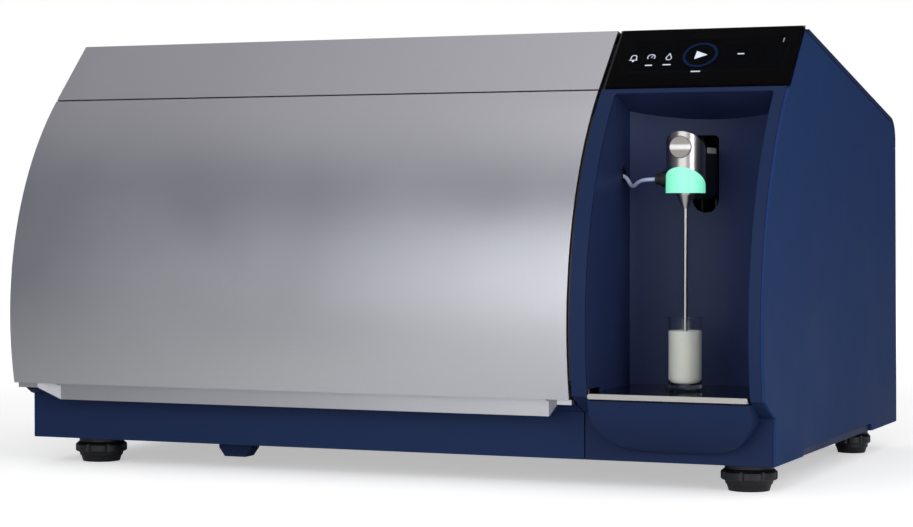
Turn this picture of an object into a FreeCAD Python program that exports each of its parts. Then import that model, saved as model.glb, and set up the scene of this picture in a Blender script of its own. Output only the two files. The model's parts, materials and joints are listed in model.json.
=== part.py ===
import FreeCAD, Part
import math
import os

import Sketcher
from FreeCAD import Placement, Rotation, Vector

# Milk analyzer for a laboratory bench, millimetres, +Z up, the front towards -Y.
# The origin lies on the bench under the middle of the instrument.
# Depths run rearward from the front of the base, heights run up from its underside.

SIZES = {
    # Housing
    "body_width": 850.0,
    "base_depth": 560.0,
    "base_lift": 28.0,
    "panel_wall": 3.0,
    "sheet_wall": 2.0,
    "fit_gap": 0.3,
    "arc_depth": 295.0,
    "arc_height": 137.0,
    "arc_radius": 343.0,
    "step_height": 48.0,
    "step_depth": 7.0,
    "step_rise": 2.0,
    "chin_height": 67.0,
    "seam_height": 377.0,
    "incline_length": 90.0,
    "roof_slope": 10.9,
    "rear_radius": 28.0,
    "rear_lean": 12.0,
    "cover_rear_height": 326.0,
    "cover_lip": 5.0,
    "cover_groove": 1.2,
    "panel_round": 1.6,
    "notch_start": 110.0,
    "notch_length": 317.0,
    "notch_height": 8.5,
    "notch_slant": 4.0,
    "rear_recess": 14.0,
    # Base pan and front skirt
    "pan_floor": 3.0,
    "pan_rim": 26.0,
    "skirt_slope_depth": 8.0,
    "skirt_slope_rise": 4.2,
    "step_tuck": 1.35,
    "step_inner_rise": 2.4,
    "skid_offset": 187.0,
    "skid_depth": 28.0,
    "skid_width": 39.0,
    "skid_tip_width": 25.0,
    "skid_height": 16.0,
    "skid_length": 20.0,
    "skid_shoulder": 6.4,
    # Right module
    "module_width": 198.0,
    "module_seam": 1.2,
    "chin_inner_rise": 3.6,
    "front_reach": 80.0,
    "niche_edge": 15.0,
    "niche_width": 167.0,
    "niche_sill": 63.5,
    "niche_top": 372.0,
    "niche_corner": 3.0,
    "niche_wall_depth": 94.0,
    "niche_sagitta": 25.0,
    "niche_ceiling_rear": 355.0,
    "niche_floor": 60.2,
    "liner_start": 4.0,
    "liner_sill": 74.0,
    "bib_foot": 8.0,
    "bib_radius": 78.0,
    "bib_corner": 44.0,
    "bib_sweep": 420.0,
    "bib_rise": 5.0,
    "bib_corner_rise": 35.2,
    "bib_corner_reach": 37.8,
    # Display
    "glass_width": 195.0,
    "glass_length": 87.5,
    "glass_start": 1.6,
    "glass_proud": 0.8,
    "glass_thickness": 2.2,
    "screen_width": 162.0,
    "screen_length": 52.0,
    "screen_inset": 14.0,
    "screen_top": 14.0,
    "screen_depth": 8.0,
    "housing_depth": 12.0,
    "roof_return": 14.0,
    # Door
    "door_left_gap": 0.4,
    "door_right_gap": 3.5,
    "door_seam_gap": 1.4,
    "door_bottom": 63.0,
    "door_skin": 2.5,
    "door_margin_skin": 2.2,
    "door_rib_depth": 12.0,
    "door_rib_top": 350.0,
    "door_return": 21.0,
    "ledge_height": 5.0,
    "ledge_setback": 1.6,
    "ledge_left_gap": 5.0,
    "ledge_overhang": 2.3,
    "ledge_depth": 12.0,
    "grip_setback": 18.0,
    "grip_bottom": 44.5,
    "grip_wall": 2.5,
    "grip_left": 24.5,
    "grip_right": 13.2,
    "grip_slant_left": 19.0,
    "grip_slant_right": 14.5,
    "grip_fold": 1.0,
    "grip_lip": 5.0,
    "grip_flange": 8.0,
    # Door hinge
    "pivot_along": 40.0,
    "pivot_inset": 12.0,
    "arm_inner_radius": 46.0,
    "arm_band": 9.0,
    "arm_back_angle": 100.0,
    "arm_front_angle": 8.0,
    "arm_thickness": 8.0,
    "arm_boss_radius": 8.6,
    "arm_foot_top": 370.0,
    "arm_foot_bottom": 335.0,
    "arm_foot_depth": 4.0,
    "arm_spread": 230.0,
    "pin_radius": 4.0,
    "pin_running_gap": 0.06,
    "spoke_angle": 12.0,
    "spoke_root_angle": 50.0,
    "spoke_root_radius": 6.0,
    "spoke_start_radius": 1.0,
    "spoke_overlap": 2.0,
    "cheek_thickness": 3.0,
    "cheek_height": 14.0,
    "beam_size": 20.0,
    "beam_setback": 7.1,
    "beam_drop": 33.3,
    # Inner frame
    "bulkhead_setback": 37.1,
    "partition_bend": 54.0,
    "cable_hole_level": 132.0,
    "cable_hole_radius": 16.0,
    # Stage
    "stage_height": 70.5,
    "stage_lip": 5.4,
    "stage_lip_wall": 2.4,
    "stage_front": 45.0,
    "stage_gap": 1.5,
    "stage_end_round": 2.2,
    "plate_thickness": 2.4,
    "runner_width": 8.0,
    # Pipette
    "pipette_offset": 105.0,
    "pipette_depth": 40.0,
    "head_radius": 20.0,
    "head_core_radius": 17.0,
    "head_bottom": 270.0,
    "head_top": 332.0,
    "head_slant": 35.0,
    "ring_height": 26.0,
    "cap_radius": 11.2,
    "cap_drop": 16.0,
    "cap_depth": 4.5,
    "cap_proud": 0.4,
    "cone_radius": 9.5,
    "cone_bottom": 254.5,
    "cone_tip_wall": 0.8,
    "cone_shoulder": 1.5,
    "tube_radius": 2.4,
    "tube_bottom": 104.0,
    "tube_wall": 0.6,
    "slot_width": 28.0,
    "slot_shift": 2.0,
    "slot_corner": 5.0,
    "slot_bottom": 250.0,
    "slot_top": 330.5,
    "carriage_width": 22.0,
    "carriage_bottom": 264.0,
    "carriage_top": 318.0,
    "carriage_round": 8.0,
    "carriage_start": 57.0,
    "rod_setback": 33.0,
    "rod_spread": 32.0,
    "rod_radius": 5.0,
    "rod_gap": 0.08,
    "slide_block_width": 54.0,
    "slide_block_depth": 22.0,
    "slide_block_height": 36.0,
    "rod_bottom": 236.0,
    "rod_top": 344.0,
    "rod_holder": 8.0,
    "holder_end": 4.0,
    "actuator_radius": 9.0,
    "actuator_rod_radius": 3.0,
    "actuator_floor": 3.0,
    "fitting_height": 284.0,
    "fitting_radius": 8.0,
    "fitting_boss": 4.3,
    "nut_radius": 5.5,
    "nut_length": 6.7,
    "hose_radius": 2.0,
    "hose_hole_depth": 73.0,
    "hose_hole_height": 290.0,
    "grommet_radius": 6.0,
    "grommet_bore": 4.2,
    "grommet_length": 12.0,
    "grommet_lip": 1.2,
    "grommet_face": 0.8,
    "grommet_recess": 5.0,
    "cut_spare": 1.0,
    "slant_margin": 10.0,
    # Sample vial
    "vial_radius": 17.0,
    "vial_rim_radius": 18.0,
    "vial_height": 73.5,
    "vial_wall": 1.2,
    "vial_base": 5.0,
    "vial_round": 3.5,
    "vial_flare": 2.4,
    "vial_lip": 0.9,
    "milk_height": 59.5,
    "milk_gap": 0.1,
    "milk_bore_radius": 3.2,
    # Feet
    "foot_pad_radius": 20.5,
    "foot_ring_radius": 28.5,
    "foot_neck_radius": 24.5,
    "foot_stem_radius": 5.0,
    "foot_stem_top": 20.0,
    "foot_travel_gap": 1.5,
    "foot_wear_height": 6.2,
    "foot_wear_flare": 2.0,
    "foot_taper_low": 6.7,
    "foot_taper_step": 1.0,
    "foot_taper_flare": 4.2,
    "foot_ring_low": 11.2,
    "foot_ring_high": 19.0,
    "foot_ring_bevel": 1.2,
    "foot_neck_slope": 3.5,
    "foot_front_side": 38.0,
    "foot_left_side": 63.0,
    "foot_rear_side": 29.0,
    "foot_front_depth": 40.0,
    "foot_rear_depth": 450.0,
    "bushing_radius": 9.0,
    "bushing_height": 24.0,
    "bushing_flange": 3.0,
    "bushing_flange_height": 4.0,
    "lobe_radius": 3.2,
    "lobe_depth": 1.4,
    # Rear panel
    "fan_size": 92.0,
    "fan_depth": 25.0,
    "fan_offset": 107.0,
    "mains_panel_margin": 34.0,
    "fan_corner": 5.75,
    "fan_floor": 3.0,
    "fan_spoke": 8.5,
    "fan_end_gap": 4.0,
    "fan_shaft_radius": 2.0,
    "fan_blade_thickness": 1.4,
    "fan_height": 180.0,
    "fan_bore": 43.0,
    "fan_hub": 17.0,
    "fan_blade_radius": 41.0,
    "guard_wire": 1.4,
    "inlet_width": 30.0,
    "inlet_height": 24.0,
    "inlet_offset": 175.0,
    "inlet_level": 60.0,
    "inlet_border": 3.0,
    "inlet_flange": 6.0,
    "inlet_flange_rise": 4.0,
    "inlet_wall": 2.5,
    "inlet_depth": 16.8,
    "blade_half_width": 1.0,
    "blade_half_height": 2.0,
    "blade_root": 0.5,
    "blade_length": 12.6,
    "rocker_width": 13.0,
    "rocker_height": 19.0,
    "rocker_gap": 0.5,
    "rocker_offset": 135.0,
    "rocker_back": 4.0,
    "rocker_root": 5.6,
    "rocker_nose": 7.5,
    "rocker_reach": 7.8,
    "rocker_high": 4.6,
    "rocker_middle": 3.0,
    "rocker_low": 2.3,
    "rocker_axle_radius": 1.5,
    "rocker_axle_reach": 1.8,
    "rocker_axle_gap": 0.2,
    "port_block_width": 90.0,
    "port_block_height": 34.0,
    "port_side": 60.0,
    "port_level": 70.0,
    "port_margin": 8.0,
    "port_pitch": 27.0,
    "port_width": 15.0,
    "port_height": 13.6,
    "port_rise": 9.0,
    "port_depth": 12.0,
    "spigot_side": 150.0,
    "spigot_level": 60.0,
    "spigot_radius": 4.75,
    "spigot_bore": 3.0,
    "spigot_length": 13.0,
    "spigot_inside": 14.0,
    "spigot_nut": 3.5,
    "spigot_flange": 2.0,
    "spigot_bevel": 0.6,
    "vent_width": 70.0,
    "vent_height": 5.0,
    "vent_end_radius": 2.27,
    "vent_pitch": 11.0,
    "vent_count": 9,
    "vent_side": 20.0,
    "vent_level": 150.0,
    # Optics
    "bench_width": 330.0,
    "bench_length": 230.0,
    "bench_thickness": 12.0,
    "bench_height": 44.0,
    "bench_side": 90.0,
    "bench_setback": 80.0,
    "bench_corner": 12.0,
    "bench_post_inset": 22.0,
    "bench_post_radius": 11.0,
    "block_side": 40.0,
    "block_back": 50.0,
    "block_width": 181.5,
    "block_length": 103.5,
    "block_height": 61.6,
    "block_corner": 5.0,
    "channel_width": 90.8,
    "channel_length": 51.8,
    "channel_depth": 30.8,
    "source_radius": 9.0,
    "source_length": 30.0,
    "mirror_travel_gap": 5.0,
    "mirror_side_gap": 0.1,
    "mirror_base": 7.7,
    "mirror_thickness": 6.0,
    "mirror_width": 25.9,
    "mirror_height": 30.4,
    # Electronics
    "supply_width": 110.0,
    "supply_length": 160.0,
    "supply_height": 48.0,
    "supply_clearance": 50.0,
    "supply_bevel": 2.0,
    "board_width": 220.0,
    "board_height": 140.0,
    "board_side": 330.0,
    "board_level": 180.0,
    "board_thickness": 1.6,
    "board_post_length": 8.0,
    "board_post_radius": 3.0,
    "board_post_inset": 8.0,
    # Sample pump
    "pump_side": 40.0,
    "pump_depth": 52.0,
    "pump_width": 110.0,
    "pump_height": 96.0,
    "pump_length": 70.0,
    "pump_corner": 6.0,
    "pump_notch": 39.6,
    "pump_notch_depth": 26.0,
    "pump_head_wall": 6.0,
    "plunger_level": 59.5,
    "plunger_radius": 9.0,
    "plunger_gap": 0.08,
    "plunger_travel": 8.0,
    "plunger_collar": 8.0,
    "plunger_collar_radius": 15.3,
    # Waste pump
    "waste_side": 250.0,
    "waste_level": 210.0,
    "waste_radius": 40.0,
    "waste_wall": 5.0,
    "waste_depth": 34.0,
    "waste_base": 10.0,
    "waste_shaft_radius": 4.0,
    "rotor_radius": 26.0,
    "rotor_plate": 4.0,
    "rotor_plate_pitch": 14.0,
    "roller_radius": 8.0,
    "roller_ring": 22.8,
    # Valves
    "valve_side": 20.0,
    "valve_level": 190.0,
    "valve_block_width": 130.0,
    "valve_block_height": 30.0,
    "valve_block_depth": 26.0,
    "valve_block_corner": 4.0,
    "valve_first": 20.0,
    "valve_pitch": 30.0,
    "valve_radius": 9.0,
    "valve_height": 34.0,
}


# The rear feet's radii against the front ones'
REAR_FOOT_SHARE = 0.76

LOBE_COUNT = 8
PORT_COUNT = 3
VALVE_COUNT = 4

# The guard's rings against the fan's opening
GUARD_RINGS = (0.30, 0.55, 0.80, 1.05)

# Fan blades: how many, and the slant and the width against the rotor's, at the hub and at the tip
BLADE_COUNT = 7
BLADE_HUB = (52.0, 1.02)
BLADE_TIP = (30.0, 1.45)

# Pins of the mains inlet, across and up from its middle
INLET_BLADES = ((-7, -1), (7, -1), (0, 3))

# Corners of the hose, from its hole in the wall and from its nut, and its tightest bend
HOSE_FROM_WALL = ((-13, 0, 0), (2, 0, 0), (12, -8.5, -15))
HOSE_FROM_NUT = ((-21, 8, -1.5), (-8, 0, 0))
HOSE_BEND = 7.0

# Parts on the control board: place across and up, width, height and depth
BOARD_PARTS = (
    (40, 50, 40, 40, 3),
    (110, 30, 60, 18, 12),
    (110, 80, 30, 30, 2.5),
    (160, 90, 44, 26, 16),
    (30, 112, 70, 12, 9),
)


class Size:
    """A value with the sheet expression that gives it."""

    def __init__(self, value, text):
        self.value = float(value)
        self.text = text

    def __add__(self, other):
        other = as_size(other)
        return Size(self.value + other.value, f"({self.text} + {other.text})")

    def __sub__(self, other):
        other = as_size(other)
        return Size(self.value - other.value, f"({self.text} - {other.text})")

    def __mul__(self, other):
        other = as_size(other)
        return Size(self.value * other.value, f"{self.text} * {other.text}")

    def __truediv__(self, other):
        other = as_size(other)
        return Size(self.value / other.value, f"{self.text} / ({other.text})")

    def __radd__(self, other):
        return as_size(other) + self

    def __rsub__(self, other):
        return as_size(other) - self

    def __rmul__(self, other):
        return as_size(other) * self

    def __rtruediv__(self, other):
        return as_size(other) / self

    def __neg__(self):
        return Size(-self.value, f"(0 - {self.text})")


def as_size(item):
    """Gives a plain number the form of a Size."""
    if isinstance(item, Size):
        return item
    return Size(item, f"({float(item)!r})")


def square_root(size):
    return Size(math.sqrt(size.value), f"sqrt({size.text})")


def sine(angle):
    return Size(math.sin(math.radians(angle.value)), f"sin({angle.text})")


def cosine(angle):
    return Size(math.cos(math.radians(angle.value)), f"cos({angle.text})")


def tangent(angle):
    return Size(math.tan(math.radians(angle.value)), f"tan({angle.text})")


class Sheet:
    """The spreadsheet of driving dimensions, read as s.alias."""

    def __init__(self, doc):
        self.cells = doc.addObject("Spreadsheet::Sheet", "sizes")
        for row, (alias, value) in enumerate(SIZES.items(), start=1):
            self.cells.set(f"A{row}", alias)
            self.cells.set(f"B{row}", str(value))
            self.cells.setAlias(f"B{row}", alias)
        doc.recompute()

    def __getattr__(self, alias):
        return Size(getattr(self.cells, alias), f"sizes.{alias}")


doc = FreeCAD.newDocument("milk_analyzer")
s = Sheet(doc)
nodes = []


class Circle:
    """A full circle of an outline."""

    def __init__(self, u, v, radius):
        self.u = as_size(u)
        self.v = as_size(v)
        self.radius = as_size(radius)


def arc_between(start, stop, radius):
    """The shorter arc from start to stop: a positive radius has its centre on the left."""
    chord = stop - start
    middle = (start + stop) * 0.5
    left = Vector(-chord.y, chord.x, 0).normalize()
    reach = math.sqrt(max(radius * radius - chord.Length * chord.Length / 4, 0.0))
    centre = middle + left * math.copysign(reach, radius)
    circle = Part.Circle(centre, Vector(0, 0, 1), abs(radius))
    first = math.atan2(start.y - centre.y, start.x - centre.x)
    last = math.atan2(stop.y - centre.y, stop.x - centre.x)
    if radius > 0:
        return Part.ArcOfCircle(circle, first, last), 1, 2
    return Part.ArcOfCircle(circle, last, first), 2, 1


def bind_points(sketch, places):
    """Ties each (geometry, end, u, v) to its two expressions."""
    rules = []
    for geometry, end, u, v in places:
        rules.append((Sketcher.Constraint("DistanceX", geometry, end, u.value), u.text))
        rules.append((Sketcher.Constraint("DistanceY", geometry, end, v.value), v.text))
    numbers = sketch.addConstraint([rule for rule, text in rules])
    for number, (rule, text) in zip(numbers, rules):
        sketch.setExpression(f"Constraints[{number}]", text)


def bind_radius(sketch, geometry, radius):
    number = sketch.addConstraint(Sketcher.Constraint("Radius", geometry, radius.value))
    sketch.setExpression(f"Constraints[{number}]", radius.text)


def draw_circle(sketch, ring):
    centre = Vector(ring.u.value, ring.v.value, 0)
    circle = Part.Circle(centre, Vector(0, 0, 1), ring.radius.value)
    geometry = sketch.addGeometry(circle)
    bind_points(sketch, [(geometry, 3, ring.u, ring.v)])
    bind_radius(sketch, geometry, ring.radius)


def draw_loop(sketch, corners):
    """Draws a closed outline; a corner's third value is the radius of the side that leaves it."""
    count = len(corners)
    sizes = [tuple(as_size(item) for item in corner) for corner in corners]
    points = [Vector(corner[0].value, corner[1].value, 0) for corner in sizes]
    sides = []
    for index, corner in enumerate(sizes):
        start = points[index]
        stop = points[(index + 1) % count]
        if len(corner) == 3:
            arc, first, last = arc_between(start, stop, corner[2].value)
            sides.append((sketch.addGeometry(arc), first, last))
        else:
            sides.append((sketch.addGeometry(Part.LineSegment(start, stop)), 1, 2))
    joints = []
    for index, (geometry, first, last) in enumerate(sides):
        following = sides[(index + 1) % count]
        joints.append(Sketcher.Constraint("Coincident", geometry, last, following[0], following[1]))
    sketch.addConstraint(joints)
    bind_points(sketch, [(side[0], side[1], corner[0], corner[1]) for side, corner in zip(sides, sizes)])
    for side, corner in zip(sides, sizes):
        if len(corner) == 3:
            bind_radius(sketch, side[0], corner[2] if corner[2].value > 0 else -corner[2])


def draw(body, plane, outlines, offset):
    """Adds a sketch, shifted along the normal of one of the body's own planes."""
    sketch = body.newObject("Sketcher::SketchObject", "Outline")
    support = [item for item in body.Origin.OriginFeatures if item.Role == plane][0]
    sketch.AttachmentSupport = [(support, "")]
    sketch.MapMode = "FlatFace"
    sketch.AttachmentOffset = Placement(Vector(0, 0, offset.value), Rotation())
    sketch.setExpression("AttachmentOffset.Base.z", offset.text)
    for outline in outlines:
        if isinstance(outline, Circle):
            draw_circle(sketch, outline)
        else:
            draw_loop(sketch, outline)
    return sketch


def new_body(label):
    body = doc.addObject("PartDesign::Body", label)
    body.Label = label
    return body


def pad(body, plane, outlines, start, length):
    """Adds material between start and start + length along the plane's axis."""
    start = as_size(start)
    length = as_size(length)
    offset = -(start + length) if plane == "XZ_Plane" else start
    sketch = draw(body, plane, outlines, offset)
    feature = body.newObject("PartDesign::Pad", "Pad")
    feature.Profile = sketch
    feature.setExpression("Length", length.text)
    body.Tip = feature
    return feature


def pocket(body, plane, outlines, start, length):
    """Removes material between start and start + length, and checks that it did."""
    start = as_size(start)
    length = as_size(length)
    doc.recompute()
    before = body.Shape.Volume
    offset = -start if plane == "XZ_Plane" else start + length
    sketch = draw(body, plane, outlines, offset)
    feature = body.newObject("PartDesign::Pocket", "Pocket")
    feature.Profile = sketch
    feature.setExpression("Length", length.text)
    body.Tip = feature
    doc.recompute()
    if body.Shape.Volume >= before - 0.01:
        raise RuntimeError(f"{body.Label}: {feature.Name} removed nothing")
    return feature


def turn(body, corners):
    """Turns a half section, radius against height, about the body's Z axis."""
    sketch = draw(body, "XZ_Plane", [corners], as_size(0))
    feature = body.newObject("PartDesign::Revolution", "Turned")
    feature.Profile = sketch
    feature.ReferenceAxis = (sketch, ["V_Axis"])
    feature.Angle = 360
    body.Tip = feature
    return feature


def soften(body, radius, choose, kind="PartDesign::Fillet"):
    """Rounds or bevels the edges that choose accepts."""
    doc.recompute()
    base = body.Tip
    edges = [f"Edge{number}" for number, edge in enumerate(base.Shape.Edges, 1) if choose(edge)]
    if not edges:
        raise RuntimeError(f"{body.Label}: no edge to round")
    feature = body.newObject(kind, "Softened")
    feature.Base = (base, edges)
    feature.setExpression("Radius" if kind.endswith("Fillet") else "Size", as_size(radius).text)
    body.Tip = feature
    return feature


def along(body, feature, axis, length, count):
    """Repeats a feature count times over length, along the sketch's H_Axis or V_Axis."""
    doc.recompute()
    pattern = body.newObject("PartDesign::LinearPattern", "Row")
    pattern.Originals = [feature]
    pattern.Direction = (feature.Profile[0], [axis])
    pattern.setExpression("Length", as_size(length).text)
    pattern.Occurrences = count
    body.Tip = pattern
    return pattern


AXES = {"x": Rotation(Vector(0, 0, 1), Vector(1, 0, 0)),
        "y": Rotation(Vector(0, 0, 1), Vector(0, 1, 0)),
        "z": Rotation()}


def place(item, x, y, z, axis="z"):
    """Puts an object's own origin at a place, its Z axis along the named axis."""
    item.Placement = Placement(Vector(), AXES[axis])
    for name, size in (("x", x), ("y", y), ("z", z)):
        item.setExpression(f"Placement.Base.{name}", as_size(size).text)
    return item


def box(label, x, y, z, width, depth, height):
    item = doc.addObject("Part::Box", label)
    for name, size in (("Length", width), ("Width", depth), ("Height", height)):
        item.setExpression(name, as_size(size).text)
    return place(item, x, y, z)


def rod(label, x, y, z, axis, radius, length):
    """A round bar from a point along an axis."""
    item = doc.addObject("Part::Cylinder", label)
    item.setExpression("Radius", as_size(radius).text)
    item.setExpression("Height", as_size(length).text)
    return place(item, x, y, z, axis)


def cut(label, base, tool):
    item = doc.addObject("Part::Cut", label)
    item.Base = base
    item.Tool = tool
    return item


def fuse(label, items):
    item = doc.addObject("Part::MultiFuse", label)
    item.Shapes = items
    return item


def common(label, items):
    item = doc.addObject("Part::MultiCommon", label)
    item.Shapes = items
    return item


def group(label, items):
    item = doc.addObject("Part::Compound", label)
    item.Links = items
    return item


def publish(item, name):
    """Names a finished sub-part and lists it for export."""
    item.Label = name
    nodes.append(item)
    return item


def rectangle(u0, v0, u1, v1):
    return [(u0, v0), (u1, v0), (u1, v1), (u0, v1)]


def rounded(u0, v0, u1, v1, radius):
    """A rectangle with round corners."""
    r = radius
    return [(u0 + r, v0), (u1 - r, v0, r), (u1, v0 + r), (u1, v1 - r, r),
            (u1 - r, v1), (u0 + r, v1, r), (u0, v1 - r), (u0, v0 + r, r)]


def slot_outline(u, v0, v1, radius, corner):
    """An upright slot with a round foot and a square head with rounded corners."""
    left = u - radius
    right = u + radius
    return [(u, v0, radius), (right, v0 + radius), (right, v1 - corner, corner), (right - corner, v1),
            (left + corner, v1, corner), (left, v1 - corner), (left, v0 + radius, radius)]


class Profile:
    """The housing's side view: y rearward and z up, from depths and heights."""

    def __init__(self):
        bulge = s.arc_radius - s.arc_depth
        self.front = (bulge - s.base_depth) / 2
        rise = s.seam_height - s.arc_height
        self.seam_depth = s.arc_depth - square_root(s.arc_radius * s.arc_radius - rise * rise)
        self.climb = (s.arc_depth - self.seam_depth) / s.arc_radius
        self.run = rise / s.arc_radius
        self.top_depth, self.top_height = self.incline(s.incline_length)
        self.rear_depth = s.base_depth - s.rear_lean

    def y(self, depth):
        return self.front + depth

    def z(self, height):
        return s.base_lift + height

    def at(self, depth, height, *radius):
        return (self.y(depth), self.z(height)) + radius

    def arc(self, height, inset=0):
        """The depth and height inset from the front arc, along its radius."""
        share = (s.arc_radius - inset) / s.arc_radius
        lift = height - s.arc_height
        reach = square_root(s.arc_radius * s.arc_radius - lift * lift)
        return s.arc_depth - reach * share, s.arc_height + lift * share

    def incline(self, distance, inset=0):
        """The depth and height up the flat incline from the seam, and inward from it."""
        depth = self.seam_depth + distance * self.run + inset * self.climb
        height = s.seam_height + distance * self.climb - inset * self.run
        return depth, height

    def roof(self, depth, inset=0):
        """The roof's height at a depth, lowered by an inset."""
        return self.top_height - (depth - self.top_depth) * tangent(s.roof_slope) - inset / cosine(s.roof_slope)

    def rear_corner(self, inset):
        """The roof end and the rear end of the rounded rear corner, and its radius."""
        radius = s.rear_radius - inset
        depth = self.rear_depth - inset
        height = self.roof(depth, inset)
        length = radius * tangent((90 - s.roof_slope) / 2)
        on_roof = (depth - length * cosine(s.roof_slope), height + length * sine(s.roof_slope))
        return on_roof, (depth, height - length), radius


p = Profile()
half_width = s.body_width / 2
inner_half = half_width - s.panel_wall - s.fit_gap
module_left = half_width - s.module_width
rear_panel_depth = p.rear_depth - s.rear_recess
pipette_x = half_width - s.pipette_offset
pipette_y = p.y(s.pipette_depth)
niche_right = half_width - s.niche_edge
niche_left = niche_right - s.niche_width
bulkhead_depth = p.top_depth + s.bulkhead_setback
rod_depth = s.niche_wall_depth + s.niche_sagitta + s.rod_setback
ring_top = s.head_bottom + s.ring_height
fan_x = module_left - s.fan_offset
inlet_x = half_width - s.inlet_offset
rocker_x = half_width - s.rocker_offset


def side_outline(front_inset):
    """A side panel's outline, under the cover's strip and the display's edge."""
    inset = s.cover_lip + s.cover_groove
    on_roof, on_rear, radius = p.rear_corner(inset)
    edge = s.glass_thickness + s.fit_gap
    top = p.incline(s.incline_length, edge)
    seam = p.incline(0, edge)
    notch_end = s.notch_start + s.notch_length
    tilt = s.rear_lean / s.cover_rear_height
    return [
        p.at(0, 0),
        p.at(s.notch_start, 0),
        p.at(s.notch_start + s.notch_slant, s.notch_height),
        p.at(notch_end - s.notch_slant, s.notch_height),
        p.at(notch_end, 0),
        p.at(s.base_depth, 0),
        p.at(s.base_depth - tilt * s.cover_rear_height, s.cover_rear_height),
        p.at(p.rear_depth - inset, s.cover_rear_height),
        p.at(*on_rear, radius),
        p.at(*on_roof),
        p.at(top[0] + s.cover_groove, p.roof(top[0] + s.cover_groove, inset)),
        p.at(*p.incline(s.incline_length - inset, edge)),
        p.at(*seam),
        p.at(*p.arc(s.seam_height - edge, front_inset), s.arc_radius - front_inset),
        p.at(*p.arc(s.chin_height, front_inset)),
        p.at(-s.step_depth, s.step_height + s.step_rise),
        p.at(0, s.step_height),
    ]


def side_panels():
    """Moulded side walls with a foot notch; the door covers the left one's front edge."""
    behind_door = s.door_skin + s.fit_gap * 2
    for name, start, outer, inset in (("side_panel_right", half_width - s.panel_wall, half_width, as_size(0)),
                                      ("side_panel_left", -half_width, -half_width, behind_door)):
        body = new_body(name)
        pad(body, "YZ_Plane", [side_outline(inset)], start, s.panel_wall)
        face = outer.value

        def on_front_rim(edge):
            extent = edge.BoundBox
            flat = abs(extent.XMin - face) < 1e-4 and abs(extent.XMax - face) < 1e-4
            ahead = extent.YMax < p.y(s.notch_start).value + 0.1
            return flat and ahead and extent.ZMin < p.z(s.chin_height).value + 0.1

        soften(body, s.panel_round, on_front_rim)
        publish(body, name)


def top_cover():
    """Folded roof sheet that rounds the rear corner, with a thicker strip at each side."""
    start = p.top_depth + s.roof_return + s.fit_gap
    body = new_body("top_cover")

    def strip(thickness, first):
        outer_roof, outer_rear, outer_radius = p.rear_corner(as_size(0))
        inner_roof, inner_rear, inner_radius = p.rear_corner(thickness)
        return [
            p.at(first, p.roof(first, thickness)),
            p.at(*inner_roof, -inner_radius),
            p.at(*inner_rear),
            p.at(p.rear_depth - thickness, s.cover_rear_height + s.fit_gap),
            p.at(p.rear_depth, s.cover_rear_height + s.fit_gap),
            p.at(*outer_rear, outer_radius),
            p.at(*outer_roof),
            p.at(first, p.roof(first)),
        ]

    pad(body, "YZ_Plane", [strip(s.sheet_wall, start)], -half_width, s.body_width)
    for edge in (-half_width, half_width - s.panel_wall):
        pad(body, "YZ_Plane", [strip(s.cover_lip, start)], edge, s.panel_wall)
    publish(body, "top_cover")


def rear_panel():
    """Rear sheet with the fan opening and a block of vents, and the mains panel beside it."""
    body = new_body("rear_panel")
    y = p.y(rear_panel_depth)
    floor = p.z(s.pan_floor + s.fit_gap)
    top = p.z(p.roof(rear_panel_depth, s.cover_lip * 2))
    seam = inlet_x - s.inlet_width / 2 - s.mains_panel_margin
    pad(body, "XZ_Plane", [rectangle(-inner_half, floor, seam, top)], y, s.sheet_wall)
    mains = new_body("mains_panel")
    pad(mains, "XZ_Plane", [rectangle(seam + s.fit_gap, floor, inner_half, top)], y, s.sheet_wall)
    through = s.sheet_wall * 3
    begin = y - s.sheet_wall
    pocket(body, "XZ_Plane", [Circle(fan_x, p.z(s.fan_height), s.fan_bore)], begin, through)
    gap = s.fit_gap
    inlet = rectangle(inlet_x - s.inlet_width / 2 - gap, p.z(s.inlet_level) - gap,
                      rocker_x + s.rocker_width / 2 + s.inlet_border + gap,
                      p.z(s.inlet_level + s.inlet_height) + gap)
    ports = rectangle(-s.port_side - s.port_block_width / 2 - gap, p.z(s.port_level) - gap,
                      -s.port_side + s.port_block_width / 2 + gap, p.z(s.port_level + s.port_block_height) + gap)
    pocket(mains, "XZ_Plane", [inlet], begin, through)
    publish(mains, "mains_panel")
    pocket(body, "XZ_Plane", [ports], begin, through)
    pocket(body, "XZ_Plane", [Circle(-s.spigot_side, p.z(s.spigot_level), s.spigot_radius + gap)], begin, through)
    vent = rounded(-s.vent_side - s.vent_width, p.z(s.vent_level), -s.vent_side,
                   p.z(s.vent_level) + s.vent_height, s.vent_end_radius)
    first = pocket(body, "XZ_Plane", [vent], begin, through)
    along(body, first, "V_Axis", s.vent_pitch * (s.vent_count - 1), SIZES["vent_count"])
    publish(body, "rear_panel")


def base_pan():
    """Tray that carries everything, with a rim and four bushed holes for the feet."""
    body = new_body("base_pan")
    back = p.y(rear_panel_depth) - s.fit_gap
    front = p.y(s.panel_wall + s.fit_gap)
    pad(body, "XY_Plane", [rectangle(-inner_half, front, inner_half, p.y(rear_panel_depth) + s.sheet_wall)],
        p.z(0), s.pan_floor)
    wall = s.sheet_wall
    ring = [rectangle(-inner_half, front, inner_half, back),
            rectangle(-inner_half + wall, front + wall, inner_half - wall, back - wall)]
    pad(body, "XY_Plane", ring, p.z(s.pan_floor), s.pan_rim)
    holes = [Circle(x, y, s.bushing_radius) for x, y in foot_places()]
    pocket(body, "XY_Plane", holes, p.z(0) - s.pan_floor, s.pan_floor * 3)
    publish(body, "base_pan")


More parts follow.
